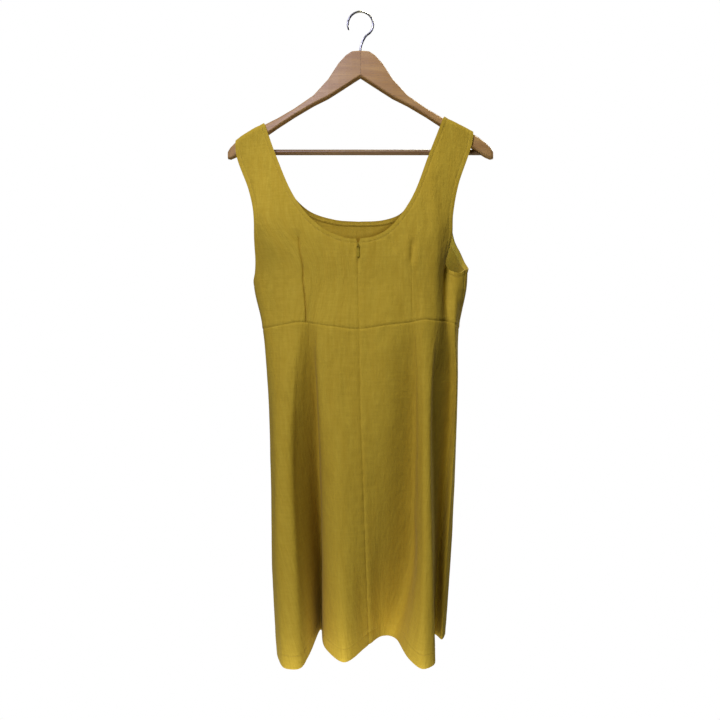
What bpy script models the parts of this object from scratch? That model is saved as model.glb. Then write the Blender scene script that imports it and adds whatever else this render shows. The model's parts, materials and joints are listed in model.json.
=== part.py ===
"""Sleeveless pinafore dress hanging on a wooden hanger.

Metres, +Z up.  The origin is the inside top of the hanger's hook, where a rail holds it.
The dress shows its back, with the centre-back zip, to -Y.  The garment front faces +Y.
Left and right are those of someone who looks along +Y, so left is -X.

Every cloth panel is laid out in two numbers, girth and height.  Girth runs round the garment
in metres of mean girth, from the left side seam over the back to the right side seam and over
the front to the left side seam again.  Height is z, and goes on as arc length where a strap
bends over the hanger.  hang() turns the pair into a point in space.
"""

import math

import bmesh
import bpy
import numpy as np
from mathutils import Vector
from mathutils.geometry import delaunay_2d_cdt

MM = 0.001

# Cloth
CLOTH = 1.2 * MM
TRIM = 1.0 * MM
GAP = 0.3 * MM
HALF_GAP = GAP / 2
TRIM_SHIFT = CLOTH / 2 + GAP + TRIM / 2
BINDING_WIDTH = 9 * MM

# Heights of the six plan sections of the body, and of the chest, above which the cloth lies flat
LEVEL_Z = np.array([-0.435, -0.517, -0.600, -0.760, -0.900, -1.034])
CHEST_Z = -0.330
FLAT_HALF_WIDTH = {"left": 0.236, "right": 0.225}
CENTRE_X = -0.004

# Ribs are the crests, floors and turns of the folds, in order round the garment.
# Columns in mm: height of the waist seam, then x and y at each of the six sections.
# The sections: underarm, waist, hip, middle of the skirt, low in the skirt, hem.
RIBS = [
    ("side_left", -521, (-176, 28), (-157, 22), (-150, 20), (-145, 20), (-143, 25), (-138, 30)),
    ("turn_left", -518, (-163, -15), (-152, -22), (-146, -28), (-141, -35), (-136, -52), (-126, -68)),
    ("crest_left", -513, (-120, -36), (-118, -41), (-124, -51), (-127, -63), (-119, -79), (-110, -94)),
    ("flank_left", -510, (-98, -40), (-101, -45), (-106, -53), (-108, -64), (-98, -80), (-90, -91)),
    ("wall_left", -510, (-86, -41), (-91, -44), (-98, -48), (-99, -48), (-90, -56), (-81, -60)),
    ("floor_left", -512, (-66, -43), (-77, -43), (-72, -32), (-67, -3), (-65, 24), (-67, 40)),
    ("edge_middle", -514, (-50, -44), (-64, -50), (-65, -51), (-60, -46), (-58, -40), (-57, -30)),
    ("crest_middle", -517, (-30, -45), (-42, -53), (-44, -58), (-38, -67), (-33, -72), (-27, -76)),
    ("centre_back", -521, (-4, -46), (-2, -52), (-1, -57), (4, -62), (9, -54), (14, -18)),
    ("slope_right", -515, (40, -46), (40, -52), (44, -55), (44, -49), (36, -35), (36, 14)),
    ("floor_right", -510, (76, -46), (80, -46), (84, -39), (84, -30), (83, -16), (58, -2)),
    ("rise_right", -508, (90, -45), (90, -48), (92, -48), (92, -50), (90, -60), (75, -68)),
    ("crest_right", -506, (104, -43), (102, -49), (100, -53), (99, -61), (98, -76), (93, -94)),
    ("edge_right", -507, (119, -38), (115, -44), (110, -51), (108, -60), (110, -73), (111, -84)),
    ("wall_right", -507, (130, -25), (124, -36), (116, -38), (113, -42), (114, -48), (115, -52)),
    ("valley_right", -508, (141, -5), (145, -13), (151, -1), (142, 6), (132, 15), (125, 17)),
    ("strip_right", -511, (154, -11), (153, -14), (156, -9), (148, -8), (139, -6), (132, -2)),
    ("side_right", -516, (170, -4), (160, 4), (160, 8), (154, 5), (147, 8), (139, 14)),
    ("bend_right", -517, (156, 46), (156, 57), (157, 60), (151, 72), (143, 86), (133, 98)),
    ("front_right", -514, (115, 78), (110, 85), (112, 91), (110, 112), (109, 126), (106, 138)),
    ("hollow_right", -515, (62, 83), (60, 88), (61, 88), (62, 84), (64, 78), (66, 72)),
    ("centre_front", -519, (-2, 86), (-2, 91), (0, 95), (6, 114), (9, 127), (12, 138)),
    ("hollow_left", -515, (-64, 82), (-62, 87), (-60, 87), (-52, 86), (-46, 82), (-40, 78)),
    ("front_left", -514, (-118, 74), (-112, 80), (-108, 86), (-104, 104), (-98, 121), (-92, 136)),
    ("bend_left", -518, (-170, 54), (-157, 58), (-150, 60), (-145, 72), (-140, 87), (-134, 100)),
]
RIB_NAMES = [row[0] for row in RIBS]
SEAM_Z = np.array([row[1] for row in RIBS]) * MM
RIB_XY = np.array([row[2:] for row in RIBS]) * MM

# The hem is cut level and rises a little where a fold runs inwards
HEM_RISE = 8 * MM
HEM_MIDDLE_Y = 24 * MM
HEM_REACH_Y = 116 * MM

# Hanger
BOW = 0.030
HALF_SPAN = 0.225
ARM_HALF_THICKNESS = 7.5 * MM
SLOPE_ROOM = 1.25
STRAP_RADIUS = ARM_HALF_THICKNESS + SLOPE_ROOM * (GAP + TRIM + GAP + CLOTH / 2)
BEND_STEPS = 4
# Stations of one arm in mm: distance from the middle, top, bottom, half thickness, top rounding
ARM = [
    (0.15, -64.5, -106.6, 7.5, 2.5),
    (14, -65.6, -115.4, 7.5, 2.5),
    (24, -72.0, -121.8, 7.5, 2.5),
    (36, -85.0, -129.4, 7.5, 2.5),
    (53, -110.8, -139.8, 7.5, 2.5),
    (77, -136.0, -151.0, 7.5, 3.0),
    (108, -155.3, -168.0, 7.5, 5.0),
    (136, -169.3, -184.5, 7.5, 7.4),
    (160, -179.6, -199.5, 7.5, 7.4),
    (180, -188.2, -212.0, 7.5, 7.4),
    (198, -198.0, -223.2, 7.5, 7.4),
    (210, -206.0, -229.4, 7.2, 7.0),
    (218, -213.0, -232.4, 6.2, 6.0),
    (222.5, -219.5, -231.6, 4.2, 4.0),
]
BAR_RADIUS = 4.6 * MM
BAR_END = 0.209
BAR_Z = -0.2215
BAR_Y = BOW * (BAR_END / HALF_SPAN) ** 2
BAR_CLEAR_Y = BAR_Y + BAR_RADIUS + 3.2 * MM
HOOK_RADIUS = 1.8 * MM
HOOK_INNER = 19 * MM
HOOK_POINTS = 44

# Outlines as x and height in metres.  The ends on a shoulder or a side seam are added by code.
SHOULDER = {"left": (-0.161, -0.208), "right": (0.1396, 0.1875)}
UNDERARM = {"left": -0.442, "right": -0.4215}
NECK_BACK_Z = -0.3785
NECK_BACK = {
    "left": [(-0.026, -0.3762), (-0.065, -0.3570), (-0.101, -0.3165), (-0.137, -0.2385)],
    "right": [(0.0200, -0.3748), (0.0420, -0.3635), (0.0776, -0.3187), (0.1120, -0.2334)],
}
NECK_FRONT_Z = -0.3262
NECK_FRONT = {
    "left": [(-0.045, -0.3232), (-0.092, -0.3075), (-0.131, -0.2650), (-0.147, -0.2262)],
    "right": [(0.042, -0.3235), (0.070, -0.3130), (0.106, -0.2620), (0.1235, -0.2211)],
}
ARMHOLE_BACK = {
    "left": [(-0.2065, -0.2270), (-0.1815, -0.2946), (-0.1722, -0.3310), (-0.1708, -0.3786),
             (-0.1714, -0.4269)],
    "right": [(0.1850, -0.2080), (0.1591, -0.2860), (0.1493, -0.3351), (0.1475, -0.3700),
              (0.1405, -0.3989), (0.1385, -0.4130), (0.1450, -0.4225), (0.1590, -0.4280)],
}
ARMHOLE_FRONT = {
    "left": [(-0.198, -0.2300), (-0.181, -0.2857), (-0.170, -0.3600), (-0.174, -0.4150)],
    "right": [(0.180, -0.2200), (0.164, -0.2600), (0.1555, -0.3300), (0.1600, -0.3650),
              (0.1700, -0.3930), (0.1740, -0.4110)],
}

# Zip: the slit stands open above the slider
SLIT_LENGTH = 16 * MM
SLIT_HALF_WIDTH = 3.4 * MM
TAPE_NEAR = 3 * MM
TAPE_FAR = 13 * MM
TAPE_TOP = NECK_BACK_Z - BINDING_WIDTH - 3 * MM
TAPE_BOTTOM = -0.735
PULL_Z = NECK_BACK_Z - 9.5 * MM


# ---------------------------------------------------------------- numbers

def smooth(t):
    t = np.clip(t, 0, 1)
    return t * t * (3 - 2 * t)


def mix(a, b, t):
    return a + (b - a) * t


def spline_weights(knots, t, period=None):
    """Weights (points x knots) of a three-point cubic spline.  Its first slope is nil if open."""
    count = len(knots)
    t = np.atleast_1d(np.asarray(t, float))
    values = np.eye(count)
    if period:
        t = np.mod(t, period)
        knots = np.concatenate([[knots[-1] - period], knots, [knots[0] + period, knots[1] + period]])
        values = np.vstack([values[-1:], values, values[:2]])
    steps = np.diff(knots)
    slopes = np.diff(values, axis=0) / steps[:, None]
    tangents = np.zeros_like(values)
    before, after = steps[:-1, None], steps[1:, None]
    tangents[1:-1] = (slopes[:-1] * after + slopes[1:] * before) / (before + after)
    tangents[-1] = slopes[-1]
    cell = np.clip(np.searchsorted(knots, t, side="right") - 1, 0, len(steps) - 1)
    width = steps[cell][:, None]
    u = ((t - knots[cell]) / steps[cell])[:, None]
    return ((2 * u**3 - 3 * u**2 + 1) * values[cell] + (u**3 - 2 * u**2 + u) * width * tangents[cell]
            + (3 * u**2 - 2 * u**3) * values[cell + 1] + (u**3 - u**2) * width * tangents[cell + 1])


def smooth_curve(points, count, start_step=None):
    """Points on a smooth curve through the given ones, evenly spaced.

    With start_step, the first BEND_STEPS steps have that length.
    """
    points = np.array(points, float)
    knots = np.concatenate([[0], np.cumsum(np.linalg.norm(np.diff(points, axis=0), axis=1))])
    slopes = np.diff(points, axis=0) / np.diff(knots)[:, None]
    tangents = np.vstack([slopes[:1], (slopes[1:] + slopes[:-1]) / 2, slopes[-1:]])
    t = np.linspace(0, knots[-1], 400)
    cell = np.clip(np.searchsorted(knots, t, side="right") - 1, 0, len(slopes) - 1)
    width = np.diff(knots)[cell][:, None]
    u = ((t - knots[cell]) / width[:, 0])[:, None]
    dense = ((2 * u**3 - 3 * u**2 + 1) * points[cell] + (u**3 - 2 * u**2 + u) * width * tangents[cell]
             + (3 * u**2 - 2 * u**3) * points[cell + 1] + (u**3 - u**2) * width * tangents[cell + 1])
    length = np.concatenate([[0], np.cumsum(np.linalg.norm(np.diff(dense, axis=0), axis=1))])
    places = np.linspace(0, length[-1], count)
    if start_step:
        bend = np.arange(BEND_STEPS) * start_step
        places = np.concatenate([bend, np.linspace(BEND_STEPS * start_step, length[-1], count - BEND_STEPS)])
    return np.column_stack([np.interp(places, length, dense[:, axis]) for axis in (0, 1)])


# ---------------------------------------------------------------- the hung form

RIB_STEPS = np.linalg.norm(RIB_XY - np.roll(RIB_XY, 1, axis=0), axis=2).mean(axis=1)
RIB_GIRTH = np.concatenate([[0], np.cumsum(RIB_STEPS[1:])])
GIRTH = RIB_STEPS.sum()


def girth_of(name):
    return RIB_GIRTH[RIB_NAMES.index(name)]


SIDE = {"left": 0.0, "right": girth_of("side_right")}
CENTRE_BACK = girth_of("centre_back")
CENTRE_FRONT = girth_of("centre_front")


def ring(girth, z):
    """Plan position on the body's section at height z."""
    round_weights = spline_weights(RIB_GIRTH, girth, GIRTH)
    rise_weights = spline_weights(-LEVEL_Z, -z)
    return np.einsum("nk,nl,klc->nc", round_weights, rise_weights, RIB_XY)


def flat_x(girth):
    """The x of the flat upper part, where the cloth hangs straight from the hanger."""
    knots = [0, CENTRE_BACK, SIDE["right"], CENTRE_FRONT, GIRTH]
    left, right = CENTRE_X - FLAT_HALF_WIDTH["left"], CENTRE_X + FLAT_HALF_WIDTH["right"]
    return np.interp(np.mod(girth, GIRTH), knots, [left, CENTRE_X, right, CENTRE_X, left])


def arm_y(x):
    return BOW * (np.abs(x) / HALF_SPAN) ** 2


def arm_centre_z(x):
    """Height of the axis about which the strap bends over the arm."""
    stations = np.array(ARM) * MM
    return np.interp(np.abs(x), stations[:, 0], stations[:, 1]) - ARM_HALF_THICKNESS


def hang(girth, height):
    """The cloth's middle surface: girth and height to points in space."""
    girth, height = np.broadcast_arrays(np.atleast_1d(girth), np.atleast_1d(height))
    girth, height = girth.astype(float), height.astype(float)
    body = ring(girth, np.minimum(height, LEVEL_Z[0]))
    x = mix(body[:, 0], flat_x(girth), smooth((height - LEVEL_Z[0]) / (CHEST_Z - LEVEL_Z[0])))
    front = np.mod(girth, GIRTH) > SIDE["right"]
    away = np.where(front, 1.0, -1.0)
    centre_y, centre_z = arm_y(x), arm_centre_z(x)
    rise = smooth((height - LEVEL_Z[0]) / (centre_z - LEVEL_Z[0])) ** np.where(front, 3.0, 1.5)
    outside_bar = np.where(front, BAR_CLEAR_Y - centre_y - STRAP_RADIUS, 0)
    lean = outside_bar * smooth((centre_z - height) / (centre_z - BAR_Z))
    y = mix(body[:, 1], centre_y + away * STRAP_RADIUS + lean, rise)
    bend = np.clip((height - centre_z) / STRAP_RADIUS, 0, math.pi / 2)
    y = np.where(bend > 0, centre_y + away * STRAP_RADIUS * np.cos(bend), y)
    z = np.where(bend > 0, centre_z + STRAP_RADIUS * np.sin(bend), height)
    return np.column_stack([x, y, z])


def directions(girth, height):
    """How the hung surface runs along girth and along height."""
    step = 0.2 * MM
    along = (hang(girth + step, height) - hang(girth - step, height)) / (2 * step)
    upward = (hang(girth, height) - hang(girth, height - step)) / step
    return along, upward


def outward(girth, height):
    along, upward = directions(girth, height)
    normal = np.cross(along, upward)
    return normal / np.linalg.norm(normal, axis=1)[:, None]


def girth_at(x, height, low, high):
    """The girth between low and high whose point has this x."""
    x, height = np.asarray(x, float), np.asarray(height, float)
    low, high = np.full(x.shape, low), np.full(x.shape, high)
    rising = hang(high, height)[:, 0] > hang(low, height)[:, 0]
    for _ in range(40):
        middle = (low + high) / 2
        below = (hang(middle, height)[:, 0] < x) == rising
        low, high = np.where(below, middle, low), np.where(below, high, middle)
    return (low + high) / 2


def waist_height(girth):
    return spline_weights(RIB_GIRTH, girth, GIRTH) @ SEAM_Z


def hem_height(girth):
    y = ring(girth, np.full(len(girth), LEVEL_Z[-1]))[:, 1]
    return LEVEL_Z[-1] + HEM_RISE * (1 - ((y - HEM_MIDDLE_Y) / HEM_REACH_Y) ** 2)


# ---------------------------------------------------------------- meshes

def add_object(name, data, material):
    data.materials.append(material)
    thing = bpy.data.objects.new(name, data)
    bpy.context.scene.collection.objects.link(thing)
    return thing


def turns_left(layout, face):
    corner = layout[face[0]]
    area = 0
    for a, b in zip(face[1:], face[2:]):
        first, second = layout[a] - corner, layout[b] - corner
        area += first[0] * second[1] - first[1] * second[0]
    return area > 0


def sheet_solid(name, layout, faces, thickness, shift, material):
    """A wall whose middle lies shift outside the hung surface.  layout holds girth and height."""
    layout = np.asarray(layout, float)
    points = hang(layout[:, 0], layout[:, 1])
    normals = outward(layout[:, 0], layout[:, 1])
    outer = points + normals * (shift + thickness / 2)
    inner = points + normals * (shift - thickness / 2)
    count = len(layout)
    faces = [face if turns_left(layout, face) else face[::-1] for face in faces]
    edges = {(a, b) for face in faces for a, b in zip(face, face[1:] + face[:1])}
    rim = sorted(edge for edge in edges if (edge[1], edge[0]) not in edges)
    walls = [(b, a, a + count, b + count) for a, b in rim]
    back = [[v + count for v in reversed(face)] for face in faces]
    mesh = bpy.data.meshes.new(name)
    mesh.from_pydata(np.vstack([outer, inner]).tolist(), [], faces + back + walls)
    mesh.shade_smooth()
    add_object(name, mesh, material)


def grid_faces(columns, rows):
    """Triangles of a grid whose points are listed column by column."""
    faces = []
    for i in range(columns - 1):
        for j in range(rows - 1):
            a, b = i * rows + j, (i + 1) * rows + j
            faces += [[a, b, b + 1], [a, b + 1, a + 1]]
    return faces


# ---------------------------------------------------------------- outlines of the bodice

def shoulder_height(x):
    return arm_centre_z(x) + STRAP_RADIUS * math.pi / 2 - HALF_GAP


def edge_line(points, count, low, high):
    """A curve given in x and height from the shoulder down, as girth and height."""
    curve = smooth_curve(points, count, STRAP_RADIUS * math.pi / 2 / BEND_STEPS)
    return np.column_stack([girth_at(curve[:, 0], curve[:, 1], low, high), curve[:, 1]])


def inner_line(edge, width, first, last):
    """The edge moved inwards by width along the cloth.  Its ends move along first and last."""
    points = hang(edge[:, 0], edge[:, 1])
    along, upward = directions(edge[:, 0], edge[:, 1])
    normals = outward(edge[:, 0], edge[:, 1])
    inward = np.cross(normals, np.gradient(points, axis=0))
    if inward[len(edge) // 2] @ (along[0] * first[0] + upward[0] * first[1]) < 0:
        inward = -inward
    moved = edge.copy()
    for i in range(1, len(edge) - 1):
        step = inward[i] / np.linalg.norm(inward[i]) * width
        moved[i] += np.linalg.lstsq(np.column_stack([along[i], upward[i]]), step, rcond=None)[0]
    for i, way in ((0, first), (-1, last)):
        length = np.linalg.norm(along[i] * way[0] + upward[i] * way[1])
        moved[i] += np.array(way) * width / length
    return moved


def slit(height):
    """Half the gap between the two backs: a seam's, and wider above the zip's slider."""
    opened = np.clip((np.asarray(height) - NECK_BACK_Z + SLIT_LENGTH) / SLIT_LENGTH, 0, 1)
    return HALF_GAP + SLIT_HALF_WIDTH * opened


def between(a, b, count):
    return np.linspace(a, b, count)


def inside(polygon, point, margin):
    """Whether a point lies in the polygon, at least margin from its sides."""
    a, b = polygon, np.roll(polygon, -1, axis=0)
    run = b - a
    t = np.clip(((point - a) * run).sum(axis=1) / (run * run).sum(axis=1), 0, 1)
    if np.linalg.norm(a + run * t[:, None] - point, axis=1).min() < margin:
        return False
    crossed = (a[:, 1] > point[1]) != (b[:, 1] > point[1])
    reach = a[:, 0] + (point[1] - a[:, 1]) * run[:, 0] / np.where(run[:, 1] == 0, 1, run[:, 1])
    return (crossed & (point[0] < reach)).sum() % 2 == 1


def ladder(edge, line):
    """Triangles between the points of a bound edge and those of the line inside it."""
    faces = []
    for i in range(len(edge) - 1):
        faces += [[edge[i], edge[i + 1], line[i + 1]], [edge[i], line[i + 1], line[i]]]
    return faces


def lattice(field):
    """Points that fill a panel's outline, in closer rows where a strap bends."""
    low, high = field.min(axis=0), field.max(axis=0)
    candidates = []
    for row, height in enumerate(np.arange(low[1] + PITCH, high[1], PITCH)):
        for girth in np.arange(low[0] + PITCH * (0.5 + 0.5 * (row % 2)), high[0], PITCH):
            if height < arm_centre_z(flat_x(girth)) - PITCH / 2:
                candidates.append(([girth, height], 0.55 * PITCH))
    for girth in np.arange(low[0], high[0], PITCH / 2):
        for step in range(BEND_STEPS):
            bend = STRAP_RADIUS * math.pi / 2 * step / BEND_STEPS
            candidates.append(([girth, arm_centre_z(flat_x(girth)) + bend], 0.2 * PITCH))
    return [point for point, margin in candidates if inside(field, np.array(point), margin)]


def cut_panel(runs):
    """Points and triangles of a panel.

    A run is a stretch of its outline: its line, its bound edge or None, and whether the
    binding on that edge runs the other way.
    """
    field = np.vstack([line[:-1] for line, _, _ in runs])
    points = np.vstack([field, lattice(field)])
    result = delaunay_2d_cdt([Vector(p) for p in points], [], [list(range(len(field)))], 1, 1e-7)
    origin = [sources[0] for sources in result[3]]
    faces = [[origin[v] for v in face] for face in result[2]]
    start = 0
    for line, edge, reverse in runs:
        if edge is not None:
            way = -1 if reverse else 1
            outer = range(len(points), len(points) + len(edge))
            inner = [(start + i) % len(field) for i in range(len(line))]
            faces += ladder(outer[::way], inner[::way])
            points = np.vstack([points, edge])
        start += len(line) - 1
    return points, faces


# ---------------------------------------------------------------- panels

BODY_ROWS = 5
PITCH = 14 * MM
BOUND_POINTS = {"neck": 20, "armhole": 25}
FOOT_REACH = 40 * MM
FOOT_STEPS = 12
SKIRT_ROWS = 12


def waist_girths(first, last):
    """Girths along the waist seam from one rib to another, shared by bodice and skirt."""
    start, stop = RIB_NAMES.index(first), RIB_NAMES.index(last) if last else len(RIB_NAMES)
    ribs = list(RIB_GIRTH[start:stop + 1]) + ([GIRTH] if not last else [])
    girths = [ribs[0]]
    for a, b in zip(ribs, ribs[1:]):
        steps = max(2, round((b - a) / PITCH))
        girths += list(between(a, b, steps + 1)[1:])
    return np.array(girths)


def trimmed(girths, start_gap, end_gap):
    """Girths whose ends keep half a seam's gap."""
    girths = girths.copy()
    girths[0] += start_gap
    girths[-1] -= end_gap
    return girths


def round_foot(edge, seam):
    """An armhole edge whose last stretch is led level to the side seam, in one curve."""
    kept = edge[:np.flatnonzero(np.abs(edge[:, 0] - seam) > FOOT_REACH)[-1] + 1]
    foot = np.array([seam, edge[-1, 1]])
    span = np.linalg.norm(foot - kept[-1])
    leaving = (kept[-1] - kept[-2]) / np.linalg.norm(kept[-1] - kept[-2]) * span
    arriving = np.array([math.copysign(span, seam - kept[-1, 0]), 0])
    u = between(0, 1, FOOT_STEPS)[1:, None]
    bend = ((2 * u**3 - 3 * u**2 + 1) * kept[-1] + (u**3 - 2 * u**2 + u) * leaving
            + (3 * u**2 - 2 * u**3) * foot + (u**3 - u**2) * arriving)
    whole = np.vstack([kept, bend])
    length = np.concatenate([[0], np.cumsum(np.linalg.norm(np.diff(whole, axis=0), axis=1))])
    even = between(length[BEND_STEPS], length[-1], len(edge) - BEND_STEPS)
    places = np.concatenate([length[:BEND_STEPS], even])
    return np.column_stack([np.interp(places, length, whole[:, axis]) for axis in (0, 1)])


def bound_edge(kind, part, side):
    """A neck or armhole edge of one side, from the shoulder down, and the line inside it."""
    low, high, on_side = {
        ("back", "left"): (0.0, CENTRE_BACK, 0.0),
        ("back", "right"): (CENTRE_BACK, SIDE["right"], SIDE["right"]),
        ("front", "right"): (SIDE["right"], CENTRE_FRONT, SIDE["right"]),
        ("front", "left"): (CENTRE_FRONT, GIRTH, GIRTH),
    }[part, side]
    towards_side = 1 if on_side == high else -1
    if kind == "neck":
        x_top = SHOULDER[side][0]
        foot = (CENTRE_X, NECK_BACK_Z if part == "back" else NECK_FRONT_Z)
        middle = (NECK_BACK if part == "back" else NECK_FRONT)[side]
        points = [(x_top, shoulder_height(x_top))] + middle[::-1] + [foot]
        edge = edge_line(points, BOUND_POINTS[kind], low, high)
        centre = CENTRE_BACK if part == "back" else CENTRE_FRONT
        edge[-1, 0] = centre + (towards_side * slit(foot[1]) if part == "back" else 0)
        inner = inner_line(edge, BINDING_WIDTH, (towards_side, 0), (0, -1))
        if part == "back":
            inner[-1, 0] = centre + towards_side * slit(inner[-1, 1])
        else:
            inner[-1, 0] = centre
    else:
        x_top = SHOULDER[side][1]
        foot_x = hang(on_side, UNDERARM[side])[0, 0]
        middle = (ARMHOLE_BACK if part == "back" else ARMHOLE_FRONT)[side]
        points = [(x_top, shoulder_height(x_top))] + middle + [(foot_x, UNDERARM[side])]
        edge = edge_line(points, BOUND_POINTS[kind], low, high)
        if (part, side) != ("back", "right"):  # that one already turns as it nears the seam
            edge = round_foot(edge, on_side)
        edge[-1, 0] = on_side - towards_side * HALF_GAP
        inner = inner_line(edge, BINDING_WIDTH, (-towards_side, 0), (0, -1))
    inner[0, 1] = shoulder_height(flat_x(inner[0, 0]))
    return edge, inner


def shoulder_line(start, end):
    girths = between(start[0], end[0], 4)
    return np.column_stack([girths, shoulder_height(flat_x(girths))])


def seam_line(girth, start, end, count=BODY_ROWS):
    return np.column_stack([np.full(count, girth), between(start, end, count)])


def waist_line(girths, shift):
    return np.column_stack([girths, waist_height(girths) + shift])


def back_bodice(side, cloth):
    left = side == "left"
    neck, neck_inner = bound_edge("neck", "back", side)
    arm, arm_inner = bound_edge("armhole", "back", side)
    away = -1 if left else 1
    girths = waist_girths(*(("side_left", "centre_back") if left else ("centre_back", "side_right")))
    waist = waist_line(trimmed(girths, HALF_GAP, HALF_GAP), HALF_GAP)
    from_centre = waist[::-1] if left else waist
    heights = between(neck_inner[-1, 1], from_centre[0, 1], 2 * BODY_ROWS)
    centre = np.column_stack([CENTRE_BACK + away * slit(heights), heights])
    runs = [
        (from_centre, None, False),
        (seam_line(arm[-1, 0], from_centre[-1, 1], arm_inner[-1, 1]), None, False),
        (arm_inner[::-1], arm[::-1], True),
        (shoulder_line(arm_inner[0], neck_inner[0]), None, False),
        (neck_inner, neck, False),
        (centre, None, False),
    ]
    layout, faces = cut_panel(runs)
    sheet_solid(f"back_bodice_{side}", layout, faces, CLOTH, 0, cloth)


def front_bodice(cloth):
    edges = {(kind, side): bound_edge(kind, "front", side)
             for kind in ("neck", "armhole") for side in ("left", "right")}
    girths = trimmed(waist_girths("side_right", None), HALF_GAP, HALF_GAP)
    waist = waist_line(girths, HALF_GAP)
    arm_right, arm_right_inner = edges["armhole", "right"]
    arm_left, arm_left_inner = edges["armhole", "left"]
    neck = np.vstack([edges["neck", "left"][0], edges["neck", "right"][0][-2::-1]])
    neck_inner = np.vstack([edges["neck", "left"][1], edges["neck", "right"][1][-2::-1]])
    runs = [
        (waist, None, False),
        (seam_line(waist[-1, 0], waist[-1, 1], arm_left_inner[-1, 1]), None, False),
        (arm_left_inner[::-1], arm_left[::-1], False),
        (shoulder_line(arm_left_inner[0], neck_inner[0]), None, False),
        (neck_inner, neck, False),
        (shoulder_line(neck_inner[-1], arm_right_inner[0]), None, False),
        (arm_right_inner, arm_right, True),
        (seam_line(waist[0, 0], arm_right_inner[-1, 1], waist[0, 1]), None, False),
    ]
    layout, faces = cut_panel(runs)
    sheet_solid("front_bodice", layout, faces, CLOTH, 0, cloth)


def skirt(name, first, last, cloth):
    girths = trimmed(waist_girths(first, last), HALF_GAP, HALF_GAP)
    rows = skirt_rows(girths)
    layout = [[girth, height] for girth, heights in zip(girths, rows.T) for height in heights]
    sheet_solid(name, layout, grid_faces(len(girths), SKIRT_ROWS), CLOTH, 0, cloth)


def strip(name, edge, inner, cloth):
    """A binding on the inside of a panel, on the panel's own points."""
    count = len(edge)
    faces = ladder(range(count), range(count, 2 * count))
    sheet_solid(name, np.vstack([edge, inner]), faces, TRIM, -TRIM_SHIFT, cloth)


def bindings(cloth):
    front = {side: bound_edge("neck", "front", side) for side in ("left", "right")}
    joined = [np.vstack([front["left"][i], front["right"][i][-2::-1]]) for i in (0, 1)]
    strip("neck_binding_front", *joined, cloth)
    for side in ("left", "right"):
        strip(f"neck_binding_back_{side}", *bound_edge("neck", "back", side), cloth)
        back = bound_edge("armhole", "back", side)
        front = bound_edge("armhole", "front", side)
        turn = GIRTH if side == "left" else 0
        lines = []
        for i in (0, 1):
            on_seam = np.array([[SIDE[side], back[i][-1, 1]]])
            lines.append(np.vstack([back[i][:-1], on_seam, (front[i] - (turn, 0))[-2::-1]]))
        strip(f"armhole_binding_{side}", *lines, cloth)


def skirt_rows(girths):
    """Heights of the rows of a skirt panel, row by row."""
    top = waist_height(girths) - HALF_GAP
    return mix(top, hem_height(girths), between(0, 1, SKIRT_ROWS)[:, None])


def zip_tapes(cloth):
    """Two tapes behind the centre seam, with the rows of the panels that they lie on."""
    rows = skirt_rows(np.array([CENTRE_BACK]))[:, 0]
    bodice_rows = between(TAPE_TOP, rows[0] + GAP, 9)
    heights = np.concatenate([bodice_rows, rows[rows > TAPE_BOTTOM]])
    for side, away in (("left", -1), ("right", 1)):
        layout = [[CENTRE_BACK + away * reach, height]
                  for reach in (TAPE_NEAR, TAPE_FAR) for height in heights]
        faces = grid_faces(2, len(heights))
        sheet_solid(f"zip_tape_{side}", layout, faces, TRIM, -TRIM_SHIFT - GAP, cloth)


# ---------------------------------------------------------------- hard pieces

def box_mesh(low, high):
    work = bmesh.new()
    bmesh.ops.create_cube(work, size=1)
    for vertex in work.verts:
        for axis in range(3):
            vertex.co[axis] = high[axis] if vertex.co[axis] > 0 else low[axis]
    return work


def mesh_object(name, work, material, helper=False):
    mesh = bpy.data.meshes.new(name)
    work.to_mesh(mesh)
    work.free()
    thing = add_object(name, mesh, material)
    if helper:
        thing.hide_render = True
        thing.display_type = "WIRE"
    return thing


def rod(name, start, end, radius, sides, material, helper=False):
    start, end = Vector(start), Vector(end)
    work = bmesh.new()
    bmesh.ops.create_cone(work, cap_ends=True, segments=sides, radius1=radius, radius2=radius,
                          depth=(end - start).length)
    turn = Vector((0, 0, 1)).rotation_difference(end - start).to_matrix()
    for vertex in work.verts:
        vertex.co = turn @ vertex.co + (start + end) / 2
    return mesh_object(name, work, material, helper)


def combine(target, tool, operation):
    modifier = target.modifiers.new(operation.lower(), "BOOLEAN")
    modifier.operation = operation
    modifier.object = tool
    modifier.solver = "EXACT"


def arm_section(x, top, bottom, half, rounding):
    """Outline of the arm at x: a rounded top and slightly rounded lower edges."""
    lower = min(3 * MM, half * 0.6)
    outline = []
    for corner_y, corner_z, radius, start in (
            (half - rounding, top - rounding, rounding, 0), (rounding - half, top - rounding, rounding, 90),
            (lower - half, bottom + lower, lower, 180), (half - lower, bottom + lower, lower, 270)):
        for step in range(4):
            angle = math.radians(start + 30 * step)
            outline.append((x, corner_y + radius * math.cos(angle), corner_z + radius * math.sin(angle)))
    return outline


def hanger_arm(side, wood, cutters):
    away = -1 if side == "left" else 1
    work = bmesh.new()
    rings = []
    for row in ARM:
        x, top, bottom, half, rounding = (value * MM for value in row)
        outline = arm_section(x, top, bottom, half, rounding)
        rings.append([work.verts.new((away * px, py + arm_y(px), pz)) for px, py, pz in outline])
    for near, far in zip(rings, rings[1:]):
        for i in range(len(near)):
            j = (i + 1) % len(near)
            work.faces.new((near[i], near[j], far[j], far[i]))
    work.faces.new(rings[0])
    work.faces.new(rings[-1])
    bmesh.ops.remove_doubles(work, verts=work.verts, dist=0.02 * MM)
    bmesh.ops.recalc_face_normals(work, faces=work.faces)
    thing = mesh_object(f"hanger_arm_{side}", work, wood)
    for cutter in cutters:
        combine(thing, cutter, "DIFFERENCE")


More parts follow.
